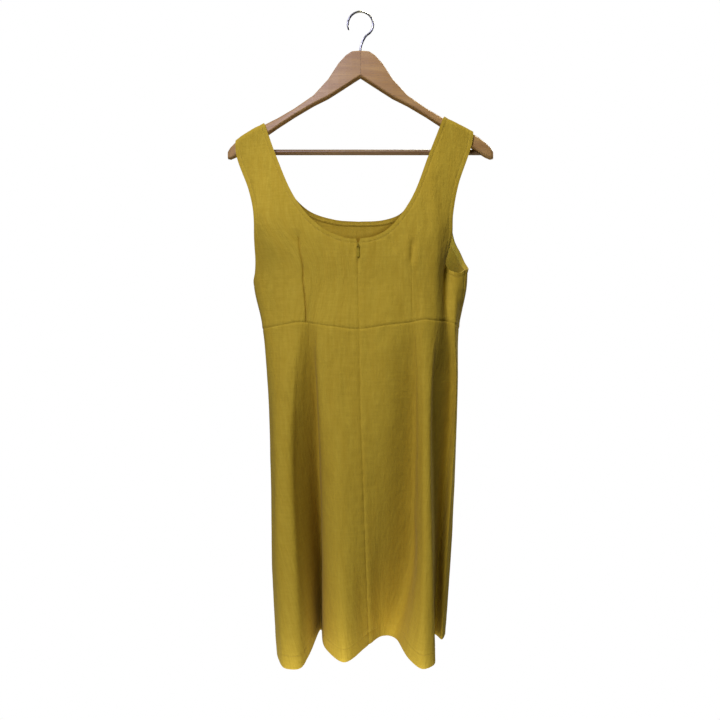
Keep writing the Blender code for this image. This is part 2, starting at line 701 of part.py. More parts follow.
def hook(metal):
    """Wire bent to an open ring above its shank.  The inside top of the ring is the origin."""
    centre_z = -HOOK_INNER
    ring_radius = HOOK_INNER + HOOK_RADIUS
    shank = [(0, -0.0815), (0, -0.070), (0, -0.060), (0.0012, -0.0535)]
    ring_points = []
    for step in range(22):
        angle = math.radians(mix(-62, 205, step / 21))
        ring_points.append((ring_radius * math.cos(angle), centre_z + ring_radius * math.sin(angle)))
    route = smooth_curve(shank + ring_points, HOOK_POINTS)
    curve = bpy.data.curves.new("hanger_hook", "CURVE")
    curve.dimensions = "3D"
    curve.bevel_depth = HOOK_RADIUS
    curve.bevel_resolution = 2
    curve.use_fill_caps = True
    line = curve.splines.new("POLY")
    line.points.add(len(route) - 1)
    for point, (x, z) in zip(line.points, route):
        point.co = (x, 0, z, 1)
    add_object("hanger_hook", curve, metal)


def hanger(wood, metal):
    guide = bpy.data.materials.new("guide")
    cutters = [rod("hook_bore", (0, 0, -0.082), (0, 0, -0.050), HOOK_RADIUS + GAP, 16, guide, helper=True),
               rod("bar_bore", (-BAR_END - GAP, BAR_Y, BAR_Z),
                   (BAR_END + GAP, BAR_Y, BAR_Z), BAR_RADIUS + GAP, 24, guide, helper=True)]
    for side in ("left", "right"):
        hanger_arm(side, wood, cutters)
    rod("hanger_bar", (-BAR_END, BAR_Y, BAR_Z), (BAR_END, BAR_Y, BAR_Z),
        BAR_RADIUS, 20, wood)
    hook(metal)


SLIDER_HALF_WIDTH = 2.2 * MM
SLIDER_HALF_LENGTH = 4.5 * MM
SLIDER_NEAR = CLOTH / 2 + GAP + TRIM + GAP
SLIDER_FAR = SLIDER_NEAR + 2.4 * MM
BRIDGE_HALF_WIDTH = 0.6 * MM
BRIDGE_HALF_LENGTH = 2.5 * MM
BRIDGE_WALL = 0.8 * MM
EYE_RADIUS = 1.0 * MM
AXIS_OUT = 2.1 * MM
PULL_HALF_THICKNESS = 0.5 * MM
PULL_LENGTH = 20 * MM
# Half widths of the pull in mm, from its bar down: depth below the axis, half width
PULL_SHAPE = [(-0.5, 2.0), (0.8, 2.2), (5.4, 2.0), (8.0, 1.7),
              (11.5, 2.0), (15.0, 2.5), (17.6, 2.4), (19.2, 1.5)]
EYE_WINDOW = (0.5 * MM, 4.8 * MM, 1.1 * MM)


def zip_slider(metal):
    cloth_point = hang(CENTRE_BACK, PULL_Z)[0]
    x, y = cloth_point[0], cloth_point[1]
    body = box_mesh((x - SLIDER_HALF_WIDTH, y + SLIDER_NEAR, PULL_Z - SLIDER_HALF_LENGTH),
                    (x + SLIDER_HALF_WIDTH, y + SLIDER_FAR, PULL_Z + SLIDER_HALF_LENGTH))
    bmesh.ops.bevel(body, geom=body.edges[:], offset=0.6 * MM, segments=2, affect="EDGES")
    slider = mesh_object("zip_slider", body, metal)
    axis_y = y - AXIS_OUT
    bridge_near = axis_y - EYE_RADIUS - BRIDGE_WALL
    bridge_far = y + SLIDER_NEAR + 1 * MM
    bridge_work = box_mesh((x - BRIDGE_HALF_WIDTH, bridge_near, PULL_Z - BRIDGE_HALF_LENGTH),
                           (x + BRIDGE_HALF_WIDTH, bridge_far, PULL_Z + BRIDGE_HALF_LENGTH))
    bridge = mesh_object("bridge", bridge_work, metal, helper=True)
    eye = rod("eye", (x - 2 * MM, axis_y, PULL_Z), (x + 2 * MM, axis_y, PULL_Z), EYE_RADIUS, 16,
              metal, helper=True)
    combine(slider, bridge, "UNION")
    combine(slider, eye, "DIFFERENCE")


def zip_pull(metal):
    """A flat drop with a window at its top.  Its top bar turns in the slider's eye."""
    cloth_point = hang(CENTRE_BACK, PULL_Z)[0]
    x, y, z = cloth_point[0], cloth_point[1] - AXIS_OUT, PULL_Z
    outline = [(-half * MM, -depth * MM) for depth, half in PULL_SHAPE]
    outline += [(0, -PULL_LENGTH)] + [(half * MM, -depth * MM) for depth, half in reversed(PULL_SHAPE)]
    top, bottom, half = EYE_WINDOW
    window = [(-half, -top), (half, -top), (half, -bottom), (-half, -bottom)]
    points = [Vector(p) for p in outline + window]
    rims = [list(range(len(outline))), list(range(len(outline), len(points)))]
    result = delaunay_2d_cdt(points, [], [rims[0]], 1, 1e-7)
    origin = [sources[0] for sources in result[3]]
    faces = [[origin[v] for v in face] for face in result[2]]
    in_window = set(rims[1])
    faces = [face for face in faces if not set(face) <= in_window]
    work = bmesh.new()
    front = [work.verts.new((x + p.x, y - PULL_HALF_THICKNESS, z + p.y)) for p in points]
    sheet = [work.faces.new([front[v] for v in face]) for face in faces]
    grown = bmesh.ops.extrude_face_region(work, geom=sheet)["geom"]
    for item in grown:
        if isinstance(item, bmesh.types.BMVert):
            item.co.y += 2 * PULL_HALF_THICKNESS
    bmesh.ops.recalc_face_normals(work, faces=work.faces)
    thing = mesh_object("zip_pull", work, metal)
    for vertex in thing.data.vertices:
        vertex.co -= Vector((x, y, z))
    thing.location = (x, y, z)


# ---------------------------------------------------------------- materials and the whole

def finish(name, colour, roughness, metallic=0.0):
    material = bpy.data.materials.new(name)
    material.use_nodes = True
    shader = material.node_tree.nodes["Principled BSDF"]
    shader.inputs["Base Color"].default_value = (*colour, 1)
    shader.inputs["Roughness"].default_value = roughness
    shader.inputs["Metallic"].default_value = metallic
    material.diffuse_color = (*colour, 1)
    return material


def main():
    for thing in list(bpy.data.objects):
        bpy.data.objects.remove(thing, do_unlink=True)
    linen = finish("mustard_linen", (0.42, 0.31, 0.045), 0.85)
    bound = finish("mustard_binding", (0.40, 0.30, 0.05), 0.85)
    tape = finish("zip_tape", (0.35, 0.26, 0.05), 0.8)
    wood = finish("pale_beech", (0.45, 0.29, 0.16), 0.5)
    steel = finish("hook_steel", (0.6, 0.6, 0.6), 0.3, 1.0)
    enamel = finish("zip_enamel", (0.36, 0.27, 0.05), 0.4, 0.4)
    back_bodice("left", linen)
    back_bodice("right", linen)
    front_bodice(linen)
    skirt("back_skirt_left", "side_left", "centre_back", linen)
    skirt("back_skirt_right", "centre_back", "side_right", linen)
    skirt("front_skirt", "side_right", None, linen)
    bindings(bound)
    zip_tapes(tape)
    zip_slider(enamel)
    zip_pull(enamel)
    hanger(wood, steel)


main()
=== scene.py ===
"""Looks of a sleeveless pinafore dress that hangs on its wooden hanger.

Metres, +Z up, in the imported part's frame.  The origin is the inside top of the hanger's hook.
The dress shows its back, with the centre-back zip, to -Y.  Left is -X.

Every cloth piece is laid out in girth and height, as the part is, but in fine cells, with its
creases, seams and stitches.  Girth runs in metres of mean girth from the left side seam over
the back to the right side seam, and over the front to the left side seam again.
"""

import json
import math

import bmesh
import bpy
import numpy as np
from mathutils import Matrix, Vector, noise
from mathutils.geometry import delaunay_2d_cdt

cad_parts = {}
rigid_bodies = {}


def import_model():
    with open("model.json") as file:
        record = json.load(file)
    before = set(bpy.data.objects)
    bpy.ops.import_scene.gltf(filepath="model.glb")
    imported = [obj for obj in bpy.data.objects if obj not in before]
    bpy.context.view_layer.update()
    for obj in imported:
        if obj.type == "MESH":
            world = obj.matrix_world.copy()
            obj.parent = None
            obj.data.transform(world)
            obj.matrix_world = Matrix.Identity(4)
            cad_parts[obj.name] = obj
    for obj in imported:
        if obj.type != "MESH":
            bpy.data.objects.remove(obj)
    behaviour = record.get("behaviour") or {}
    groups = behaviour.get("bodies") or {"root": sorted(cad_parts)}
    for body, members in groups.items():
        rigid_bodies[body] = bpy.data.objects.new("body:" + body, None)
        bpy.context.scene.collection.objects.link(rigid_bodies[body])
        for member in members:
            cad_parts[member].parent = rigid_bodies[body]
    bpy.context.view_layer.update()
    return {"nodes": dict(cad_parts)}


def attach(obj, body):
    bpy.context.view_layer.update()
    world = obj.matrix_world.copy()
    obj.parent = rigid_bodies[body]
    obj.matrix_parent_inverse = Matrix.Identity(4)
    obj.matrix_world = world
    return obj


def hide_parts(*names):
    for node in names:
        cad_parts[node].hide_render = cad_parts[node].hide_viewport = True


for thing in list(bpy.data.objects):
    bpy.data.objects.remove(thing)
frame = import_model()

MM = 0.001

# ---------------- the part's own form

# Heights of the plan sections: the underarm, waist, hip, upper skirt, lower skirt and hem
LEVEL_Z = np.array([-0.435, -0.517, -0.600, -0.760, -0.900, -1.034])
# From the chest up the cloth is flat, and this wide to each side of its centre
CHEST_Z = -0.330
FLAT_HALF_WIDTH = {"left": 0.236, "right": 0.225}
CENTRE_X = -0.004

# Each rib in mm: the height of the waist seam, then x and y at each height of LEVEL_Z
RIBS = [
    ("side_left", -521, (-176, 28), (-157, 22), (-150, 20), (-145, 20), (-143, 25), (-138, 30)),
    ("turn_left", -518, (-163, -15), (-152, -22), (-146, -28), (-141, -35), (-136, -52), (-126, -68)),
    ("crest_left", -513, (-120, -36), (-118, -41), (-124, -51), (-127, -63), (-119, -79), (-110, -94)),
    ("flank_left", -510, (-98, -40), (-101, -45), (-106, -53), (-108, -64), (-98, -80), (-90, -91)),
    ("wall_left", -510, (-86, -41), (-91, -44), (-98, -48), (-99, -48), (-90, -56), (-81, -60)),
    ("floor_left", -512, (-66, -43), (-77, -43), (-72, -32), (-67, -3), (-65, 24), (-67, 40)),
    ("edge_middle", -514, (-50, -44), (-64, -50), (-65, -51), (-60, -46), (-58, -40), (-57, -30)),
    ("crest_middle", -517, (-30, -45), (-42, -53), (-44, -58), (-38, -67), (-33, -72), (-27, -76)),
    ("centre_back", -521, (-4, -46), (-2, -52), (-1, -57), (4, -62), (9, -54), (14, -18)),
    ("slope_right", -515, (40, -46), (40, -52), (44, -55), (44, -49), (36, -35), (36, 14)),
    ("floor_right", -510, (76, -46), (80, -46), (84, -39), (84, -30), (83, -16), (58, -2)),
    ("rise_right", -508, (90, -45), (90, -48), (92, -48), (92, -50), (90, -60), (75, -68)),
    ("crest_right", -506, (104, -43), (102, -49), (100, -53), (99, -61), (98, -76), (93, -94)),
    ("edge_right", -507, (119, -38), (115, -44), (110, -51), (108, -60), (110, -73), (111, -84)),
    ("wall_right", -507, (130, -25), (124, -36), (116, -38), (113, -42), (114, -48), (115, -52)),
    ("valley_right", -508, (141, -5), (145, -13), (151, -1), (142, 6), (132, 15), (125, 17)),
    ("strip_right", -511, (154, -11), (153, -14), (156, -9), (148, -8), (139, -6), (132, -2)),
    ("side_right", -516, (170, -4), (160, 4), (160, 8), (154, 5), (147, 8), (139, 14)),
    ("bend_right", -517, (156, 46), (156, 57), (157, 60), (151, 72), (143, 86), (133, 98)),
    ("front_right", -514, (115, 78), (110, 85), (112, 91), (110, 112), (109, 126), (106, 138)),
    ("hollow_right", -515, (62, 83), (60, 88), (61, 88), (62, 84), (64, 78), (66, 72)),
    ("centre_front", -519, (-2, 86), (-2, 91), (0, 95), (6, 114), (9, 127), (12, 138)),
    ("hollow_left", -515, (-64, 82), (-62, 87), (-60, 87), (-52, 86), (-46, 82), (-40, 78)),
    ("front_left", -514, (-118, 74), (-112, 80), (-108, 86), (-104, 104), (-98, 121), (-92, 136)),
    ("bend_left", -518, (-170, 54), (-157, 58), (-150, 60), (-145, 72), (-140, 87), (-134, 100)),
]
RIB_NAMES = [row[0] for row in RIBS]
SEAM_Z = np.array([row[1] for row in RIBS]) * MM
RIB_XY = np.array([row[2:] for row in RIBS]) * MM
RIB_STEPS = np.linalg.norm(RIB_XY - np.roll(RIB_XY, 1, axis=0), axis=2).mean(axis=1)
RIB_GIRTH = np.concatenate([[0], np.cumsum(RIB_STEPS[1:])])
GIRTH = RIB_STEPS.sum()

# The hem stands HEM_RISE higher at HEM_MIDDLE_Y than it does HEM_REACH_Y before or behind that
HEM_RISE = 8 * MM
HEM_MIDDLE_Y = 24 * MM
HEM_REACH_Y = 116 * MM

# The hanger's arms bow to +Y by BOW at HALF_SPAN from its middle
BOW = 0.030
HALF_SPAN = 0.225
STRAP_RADIUS = 10.25 * MM
# The axis about which the straps bend over an arm, in mm: distance from the middle and height
BEND_AXIS = [(77, -143.5), (108, -162.8), (136, -176.8), (160, -187.1), (180, -195.7),
             (198, -205.5), (210, -213.5), (218, -220.5)]
# At the trouser bar's height the front hangs outside the bar, with its middle at BAR_CLEAR_Y
BAR_Z = -0.2215
BAR_CLEAR_Y = 0.0337

# The x of a strap's neck edge and armhole edge at the shoulder
SHOULDER = {"left": (-0.161, -0.208), "right": (0.1396, 0.1875)}
# The height of each armhole's foot
UNDERARM = {"left": -0.442, "right": -0.4215}
# The neck edge's height at the middle, and its places in x and z from there to the shoulder
NECK_Z = {"back": -0.3785, "front": -0.3262}
NECK = {
    "back": {
        "left": [(-0.026, -0.3762), (-0.065, -0.3570), (-0.101, -0.3165), (-0.137, -0.2385)],
        "right": [(0.0200, -0.3748), (0.0420, -0.3635), (0.0776, -0.3187), (0.1120, -0.2334)],
    },
    "front": {
        "left": [(-0.045, -0.3232), (-0.092, -0.3075), (-0.131, -0.2650), (-0.147, -0.2262)],
        "right": [(0.042, -0.3235), (0.070, -0.3130), (0.106, -0.2620), (0.1235, -0.2211)],
    },
}
# The armhole edge's places in x and z, from the shoulder down
ARMHOLE = {
    "back": {
        "left": [(-0.2065, -0.2270), (-0.1815, -0.2946), (-0.1722, -0.3310), (-0.1708, -0.3786),
                 (-0.1714, -0.4269)],
        "right": [(0.1850, -0.2080), (0.1591, -0.2860), (0.1493, -0.3351), (0.1475, -0.3700),
                  (0.1405, -0.3989), (0.1385, -0.4130), (0.1450, -0.4225), (0.1590, -0.4280)],
    },
    "front": {
        "left": [(-0.198, -0.2300), (-0.181, -0.2857), (-0.170, -0.3600), (-0.174, -0.4150)],
        "right": [(0.180, -0.2200), (0.164, -0.2600), (0.1555, -0.3300), (0.1600, -0.3650),
                  (0.1700, -0.3930), (0.1740, -0.4110)],
    },
}

# Thickness of the panels, and of the bindings and tapes
CLOTH = 0.9 * MM
TRIM = 0.8 * MM
# How far outside the hung surface the middle of a binding or tape lies
TRIM_SHIFT = -0.97 * MM
TAPE_SHIFT = -1.75 * MM
BINDING_WIDTH = 9 * MM
STITCH_INSET = 7 * MM
# Half the gap between two panels at a seam
SEAM_GAP = 0.01 * MM
# The zip's slider stands SLIT_LENGTH below the neck edge, and above it the backs part
SLIT_LENGTH = 16 * MM
SLIT_HALF_WIDTH = 3.4 * MM
TAPE_TOP = NECK_Z["back"] - 1.5 * MM
COIL_TOP = NECK_Z["back"] - 2 * MM
TAPE_BOTTOM = -0.735
HEM_DEPTH = 20 * MM


# ---------------- numbers

def smooth(t):
    t = np.clip(t, 0, 1)
    return t * t * (3 - 2 * t)


def mix(a, b, t):
    return a + (b - a) * t


def bump(distance, half_width):
    return np.exp(-(distance / half_width) ** 2)


def unit(vectors):
    return vectors / np.linalg.norm(vectors, axis=1)[:, None]


def lengths_along(points):
    """How far along a line each of its points lies."""
    return np.concatenate([[0], np.cumsum(np.linalg.norm(np.diff(points, axis=0), axis=1))])


def at_lengths(places, lengths, line):
    """Points on a line of two columns at places, where lengths says how far along its points are."""
    return np.column_stack([np.interp(places, lengths, line[:, axis]) for axis in (0, 1)])


def hermite(u, start, end, leaving, arriving, width=1.0):
    """The cubic from start to end, as u goes from 0 to 1 over width, with these slopes at its ends."""
    return ((2 * u**3 - 3 * u**2 + 1) * start + (u**3 - 2 * u**2 + u) * width * leaving
            + (3 * u**2 - 2 * u**3) * end + (u**3 - u**2) * width * arriving)


def cubic(knots, values, slopes, t):
    """The values at t of the curve that has these values and slopes at its knots."""
    cell = np.clip(np.searchsorted(knots, t, side="right") - 1, 0, len(knots) - 2)
    width = np.diff(knots)[cell][:, None]
    u = (t - knots[cell])[:, None] / width
    return hermite(u, values[cell], values[cell + 1], slopes[cell], slopes[cell + 1], width)


def spline_weights(knots, t, period=None):
    """Weights (points x knots) of a three-point cubic spline, which starts level unless periodic."""
    t = np.atleast_1d(np.asarray(t, float))
    values = np.eye(len(knots))
    if period:
        t = np.mod(t, period)
        knots = np.concatenate([[knots[-1] - period], knots, [knots[0] + period, knots[1] + period]])
        values = np.vstack([values[-1:], values, values[:2]])
    steps = np.diff(knots)
    slopes = np.diff(values, axis=0) / steps[:, None]
    tangents = np.zeros_like(values)
    before, after = steps[:-1, None], steps[1:, None]
    tangents[1:-1] = (slopes[:-1] * after + slopes[1:] * before) / (before + after)
    tangents[-1] = slopes[-1]
    return cubic(knots, values, tangents, t)


DENSE_COUNT = 800


def smooth_curve(points, step):
    """Points about step apart on a smooth curve through the given ones."""
    points = np.array(points, float)
    knots = lengths_along(points)
    slopes = np.diff(points, axis=0) / np.diff(knots)[:, None]
    tangents = np.vstack([slopes[:1], (slopes[1:] + slopes[:-1]) / 2, slopes[-1:]])
    dense = cubic(knots, points, tangents, np.linspace(0, knots[-1], DENSE_COUNT))
    lengths = lengths_along(dense)
    places = np.linspace(0, lengths[-1], round(lengths[-1] / step) + 1)
    return at_lengths(places, lengths, dense)


# ---------------- the hung form

def girth_of(name):
    return RIB_GIRTH[RIB_NAMES.index(name)]


SIDES = ("left", "right")
# The girth of each side seam, and the way in girth from the centre back to it
SIDE = {"left": 0.0, "right": girth_of("side_right")}
AWAY = {"left": -1, "right": 1}
CENTRE_BACK = girth_of("centre_back")
CENTRE_FRONT = girth_of("centre_front")


def ring(girth, z):
    """Plan position on the body's section at height z."""
    round_weights = spline_weights(RIB_GIRTH, girth, GIRTH)
    rise_weights = spline_weights(-LEVEL_Z, -np.broadcast_to(z, len(girth)))
    return np.einsum("nk,nl,klc->nc", round_weights, rise_weights, RIB_XY)


def flat_x(girth):
    """The x of the flat upper part, where the cloth hangs straight from the hanger."""
    knots = [0, CENTRE_BACK, SIDE["right"], CENTRE_FRONT, GIRTH]
    left, right = CENTRE_X - FLAT_HALF_WIDTH["left"], CENTRE_X + FLAT_HALF_WIDTH["right"]
    return np.interp(np.mod(girth, GIRTH), knots, [left, CENTRE_X, right, CENTRE_X, left])


def arm_y(x):
    return BOW * (np.abs(x) / HALF_SPAN) ** 2


def arm_centre_z(x):
    axis = np.array(BEND_AXIS) * MM
    return np.interp(np.abs(x), axis[:, 0], axis[:, 1])


# The higher, the later the cloth leans in to the hanger's arm on its way up from the underarm
FRONT_BEND = 3.0
BACK_BEND = 1.5


def hang(girth, height):
    """The cloth's middle surface before its creases: girth and height to points in space."""
    girth, height = np.broadcast_arrays(np.atleast_1d(girth), np.atleast_1d(height))
    girth, height = girth.astype(float), height.astype(float)
    body = ring(girth, np.minimum(height, LEVEL_Z[0]))
    x = mix(body[:, 0], flat_x(girth), smooth((height - LEVEL_Z[0]) / (CHEST_Z - LEVEL_Z[0])))
    front = np.mod(girth, GIRTH) > SIDE["right"]
    away = np.where(front, 1.0, -1.0)
    centre_y, centre_z = arm_y(x), arm_centre_z(x)
    rise = smooth((height - LEVEL_Z[0]) / (centre_z - LEVEL_Z[0]))
    rise = rise ** np.where(front, FRONT_BEND, BACK_BEND)
    outside_bar = np.where(front, BAR_CLEAR_Y - centre_y - STRAP_RADIUS, 0)
    lean = outside_bar * smooth((centre_z - height) / (centre_z - BAR_Z))
    y = mix(body[:, 1], centre_y + away * STRAP_RADIUS + lean, rise)
    bend = np.clip((height - centre_z) / STRAP_RADIUS, 0, math.pi / 2)
    y = np.where(bend > 0, centre_y + away * STRAP_RADIUS * np.cos(bend), y)
    z = np.where(bend > 0, centre_z + STRAP_RADIUS * np.sin(bend), height)
    return np.column_stack([x, y, z])


SHORT_STEP = 0.2 * MM


def directions(girth, height):
    """How the hung surface runs along girth and along height."""
    along = (hang(girth + SHORT_STEP, height) - hang(girth - SHORT_STEP, height)) / (2 * SHORT_STEP)
    upward = (hang(girth, height) - hang(girth, height - SHORT_STEP)) / SHORT_STEP
    return along, upward


def outward(girth, height):
    return unit(np.cross(*directions(girth, height)))


HALVINGS = 40


def girth_at(x, height, low, high):
    """The girth between low and high whose point has this x."""
    x, height = np.asarray(x, float), np.asarray(height, float)
    low, high = np.full(x.shape, low), np.full(x.shape, high)
    rising = hang(high, height)[:, 0] > hang(low, height)[:, 0]
    for _ in range(HALVINGS):
        middle = (low + high) / 2
        below = (hang(middle, height)[:, 0] < x) == rising
        low, high = np.where(below, middle, low), np.where(below, high, middle)
    return (low + high) / 2


def waist_height(girth):
    return spline_weights(RIB_GIRTH, girth, GIRTH) @ SEAM_Z


def hem_height(girth):
    y = ring(girth, LEVEL_Z[-1])[:, 1]
    return LEVEL_Z[-1] + HEM_RISE * (1 - ((y - HEM_MIDDLE_Y) / HEM_REACH_Y) ** 2)


def laid(places, low, high):
    """Girth and height of places given as x and z, at girths between low and high."""
    return np.column_stack([girth_at(places[:, 0], places[:, 1], low, high), places[:, 1]])


def spots(part, places):
    """Girth and height of places given as x and z in mm on the dress's back or front."""
    ends = {"back": (0, SIDE["right"]), "front": (SIDE["right"], GIRTH)}[part]
    return laid(np.array(places, float) * MM, *ends)


# ---------------- creases

# Each in mm: x and z at its one end and at its other, half width, and height (a trough's is negative)
BACK_CREASES = [
    (-160, -232, -143, -345, 9, -1.3),
    (-176, -262, -160, -350, 6, 0.7),
    (-134, -345, -118, -432, 7, -1.2),
    (-150, -365, -141, -452, 6, 0.8),
    (-121, -290, -108, -362, 5, -0.6),
    (-98, -362, -100, -392, 5, -1.5),
    (-62, -372, -57, -440, 8, -0.6),
    (-38, -392, -40, -470, 7, 0.5),
    (-24, -440, -26, -508, 5, -0.5),
    (-58, -455, -66, -512, 6, 0.5),
    (-148, -458, -140, -505, 7, -0.8),
    (22, -382, 25, -424, 6, -0.7),
    (41, -370, 60, -402, 5, -0.7),
    (36, -362, 47, -380, 3.5, 0.5),
    (58, -352, 66, -378, 3.5, -0.5),
    (84, -372, 80, -424, 7, -3.0),
    (75, -370, 73, -426, 8, 1.3),
    (92, -372, 92, -430, 5, 0.8),
    (102, -300, 106, -385, 5, -0.8),
    (124, -262, 131, -352, 7, -0.9),
    (113, -250, 117, -330, 5, 0.6),
    (104, -420, 108, -496, 7, -0.6),
    (67, -474, 68, -511, 4, -0.6),
    (44, -452, 46, -505, 6, 0.5),
    (20, -450, 23, -512, 5, -0.4),
    (-70, -520, -72, -562, 4.5, -0.8),
    (-94, -519, -97, -575, 5.5, 0.7),
    (-53, -522, -56, -590, 5, 0.6),
    (-44, -560, -42, -660, 6, -0.7),
    (-22, -524, -24, -580, 5, -0.5),
    (-14, -580, -12, -700, 6, 0.5),
    (33, -520, 38, -549, 3.2, -0.9),
    (25, -521, 27, -541, 3.0, 0.6),
    (50, -516, 53, -562, 5, 0.5),
    (14, -530, 15, -600, 4.5, -0.5),
    (24, -600, 28, -735, 7, 0.6),
    (5, -548, 6, -612, 2.6, -1.0),
    (7, -622, 8, -668, 3, -0.8),
    (-25, -596, -21, -655, 4.5, -1.0),
    (-36, -572, -31, -622, 4, 0.7),
    (-14, -524, -13, -552, 3, -0.7),
    (42, -514, 45, -545, 3, -0.8),
    (62, -522, 63, -556, 3.5, 0.7),
    (12, -655, 24, -672, 4, -0.6),
    (84, -560, 82, -640, 7, 0.6),
    (100, -514, 100, -556, 5, -0.5),
    (-128, -520, -133, -640, 8, -0.9),
    (-112, -640, -116, -800, 8, 0.7),
    (-134, -690, -136, -860, 8, -0.8),
    (-28, -760, -24, -940, 9, -0.8),
    (-46, -820, -46, -980, 8, 0.6),
    (2, -880, 0, -1000, 7, -0.9),
    (-10, -930, -12, -1020, 6, 0.6),
    (84, -760, 90, -930, 9, 0.7),
    (60, -880, 62, -1010, 8, -0.7),
    (102, -870, 104, -1000, 6, -0.6),
    (-121, -968, -112, -976, 4, -0.9),
    (-124, -984, -115, -991, 4, 0.8),
    (-113, -1003, -103, -1007, 4, -0.9),
    (-119, -1014, -107, -1018, 4, 0.7),
    (70, -995, 82, -1001, 5, -0.5),
    (146, -440, 144, -505, 5, 0.8),
    (157, -452, 161, -498, 4, -0.7),
    (143, -540, 141, -700, 5, -0.7),
    (153, -600, 150, -790, 5, 0.6),
]
FRONT_CREASES = [
    (-166, -245, -150, -340, 8, -1.1),
    (-140, -300, -122, -400, 8, -1.0),
    (-104, -345, -96, -430, 7, 0.8),
    (-84, -398, -84, -440, 6, -1.0),
    (-56, -352, -50, -430, 8, -0.7),
    (-30, -372, -26, -470, 8, 0.6),
    (-8, -350, -6, -440, 9, -0.6),
    (24, -362, 30, -450, 8, 0.6),
    (48, -345, 58, -420, 7, -0.8),
    (82, -400, 82, -442, 6, -1.1),
    (103, -320, 108, -410, 7, 0.7),
    (128, -270, 136, -370, 7, -0.9),
    (150, -420, 146, -500, 7, -0.7),
    (-142, -430, -136, -505, 7, 0.7),
    (-120, -455, -112, -512, 6, -0.6),
    (-40, -460, -42, -514, 5, -0.5),
    (18, -470, 20, -516, 5, 0.5),
    (52, -468, 54, -512, 5, -0.6),
    (-100, -522, -104, -600, 6, -0.8),
    (-66, -520, -64, -570, 5, 0.6),
    (-32, -524, -34, -610, 6, -0.6),
    (10, -526, 12, -580, 5, 0.5),
    (42, -522, 46, -600, 6, -0.7),
    (92, -520, 94, -610, 7, 0.7),
    (126, -525, 124, -620, 6, -0.6),
    (-120, -640, -118, -800, 9, 0.8),
    (-78, -660, -76, -850, 9, -0.8),
    (-18, -640, -14, -820, 9, 0.7),
    (30, -680, 34, -880, 9, -0.8),
    (86, -700, 90, -860, 9, 0.7),
    (130, -740, 126, -920, 8, -0.8),
    (-60, -880, -52, -1010, 8, 0.7),
    (-104, -860, -100, -1000, 8, -0.7),
    (0, -880, 4, -1010, 8, -0.7),
    (52, -900, 56, -1015, 7, 0.6),
    (104, -900, 106, -1010, 7, -0.6),
]

# Darts: depth, then x and z in mm from the tip to the waist seam, or from the seam to the tip
BACK_DARTS = [
    (3.0, [(-98, -376), (-94, -408), (-91, -440), (-88, -470), (-86, -509)]),
    (0.6, [(81, -424), (81, -466), (82, -508)]),
    (0.35, [(-80, -513), (-82, -550)]),
    (0.35, [(85, -508), (86, -556)]),
]
FRONT_DARTS = [
    (0.9, [(-84, -430), (-86, -470), (-88, -511)]),
    (0.9, [(82, -432), (84, -470), (87, -511)]),
    (0.5, [(-88, -517), (-90, -560)]),
    (0.5, [(87, -516), (89, -562)]),
]
DART_HALF_WIDTH = 1.8 * MM
DART_REACH = 10 * MM


def crease_lines():
    """The creases in girth and height: both ends, half width and height."""
    lines = []
    for part, rows in (("back", BACK_CREASES), ("front", FRONT_CREASES)):
        table = np.array(rows)
        starts, ends = spots(part, table[:, 0:2]), spots(part, table[:, 2:4])
        lines += list(zip(starts, ends, table[:, 4] * MM, table[:, 5] * MM))
    return lines


def dart_lines():
    """Each dart's depth and its line in girth and height."""
    lines = []
    for part, darts in (("back", BACK_DARTS), ("front", FRONT_DARTS)):
        for depth, dart in darts:
            lines.append((depth * MM, smooth_curve(spots(part, dart), 3 * MM)))
    return lines


CREASE_LINES = crease_lines()
DARTS = dart_lines()
DART_LINES = [line for depth, line in DARTS]


def along_line(layout, start, end):
    """Distance of each point from a straight line, and how far along it the nearest spot is."""
    run = end - start
    t = np.clip((layout - start) @ run / (run @ run), 0, 1)
    return np.linalg.norm(layout - start - t[:, None] * run, axis=1), t


def crease_relief(layout):
    """Each crease has its full height in its middle third, and fades out towards its two ends."""
    total = np.zeros(len(layout))
    for start, end, half_width, lift in CREASE_LINES:
        away, t = along_line(layout, start, end)
        total += lift * bump(away, half_width) * smooth(3 * np.minimum(t, 1 - t))
    return total


def distance_from(points, line):
    """Distance of each point from a line of straight runs."""
    runs = [along_line(points, start, end)[0] for start, end in zip(line, line[1:])]
    return np.min(runs, axis=0)


def dart_relief(layout):
    total = np.zeros(len(layout))
    for depth, line in DARTS:
        low, high = line.min(axis=0) - DART_REACH, line.max(axis=0) + DART_REACH
        near = np.flatnonzero(((layout > low) & (layout < high)).all(axis=1))
        if len(near) > 0:
            total[near] -= depth * bump(distance_from(layout[near], line), DART_HALF_WIDTH)
    return total


def ridge(away, height, half_width):
    """How far a ridge stands out, its sizes in mm.  A groove's height is negative."""
    return height * MM * bump(away, half_width * MM)


def pucker(along, away, height, reach, wave, seed):
    """The small waves that a row of stitches draws the cloth into, their sizes in mm.

    Two slower waves make them uneven: one in their spacing, and one in their height.
    """
    wave = wave * MM
    slow = 1.8 * np.sin(along / (4.3 * wave) + seed)
    uneven = 0.6 + 0.4 * np.sin(along / (9.1 * wave) + 2 * seed)
    return height * MM * (uneven * bump(away, reach * MM) * np.sin(2 * math.pi * along / wave + slow))


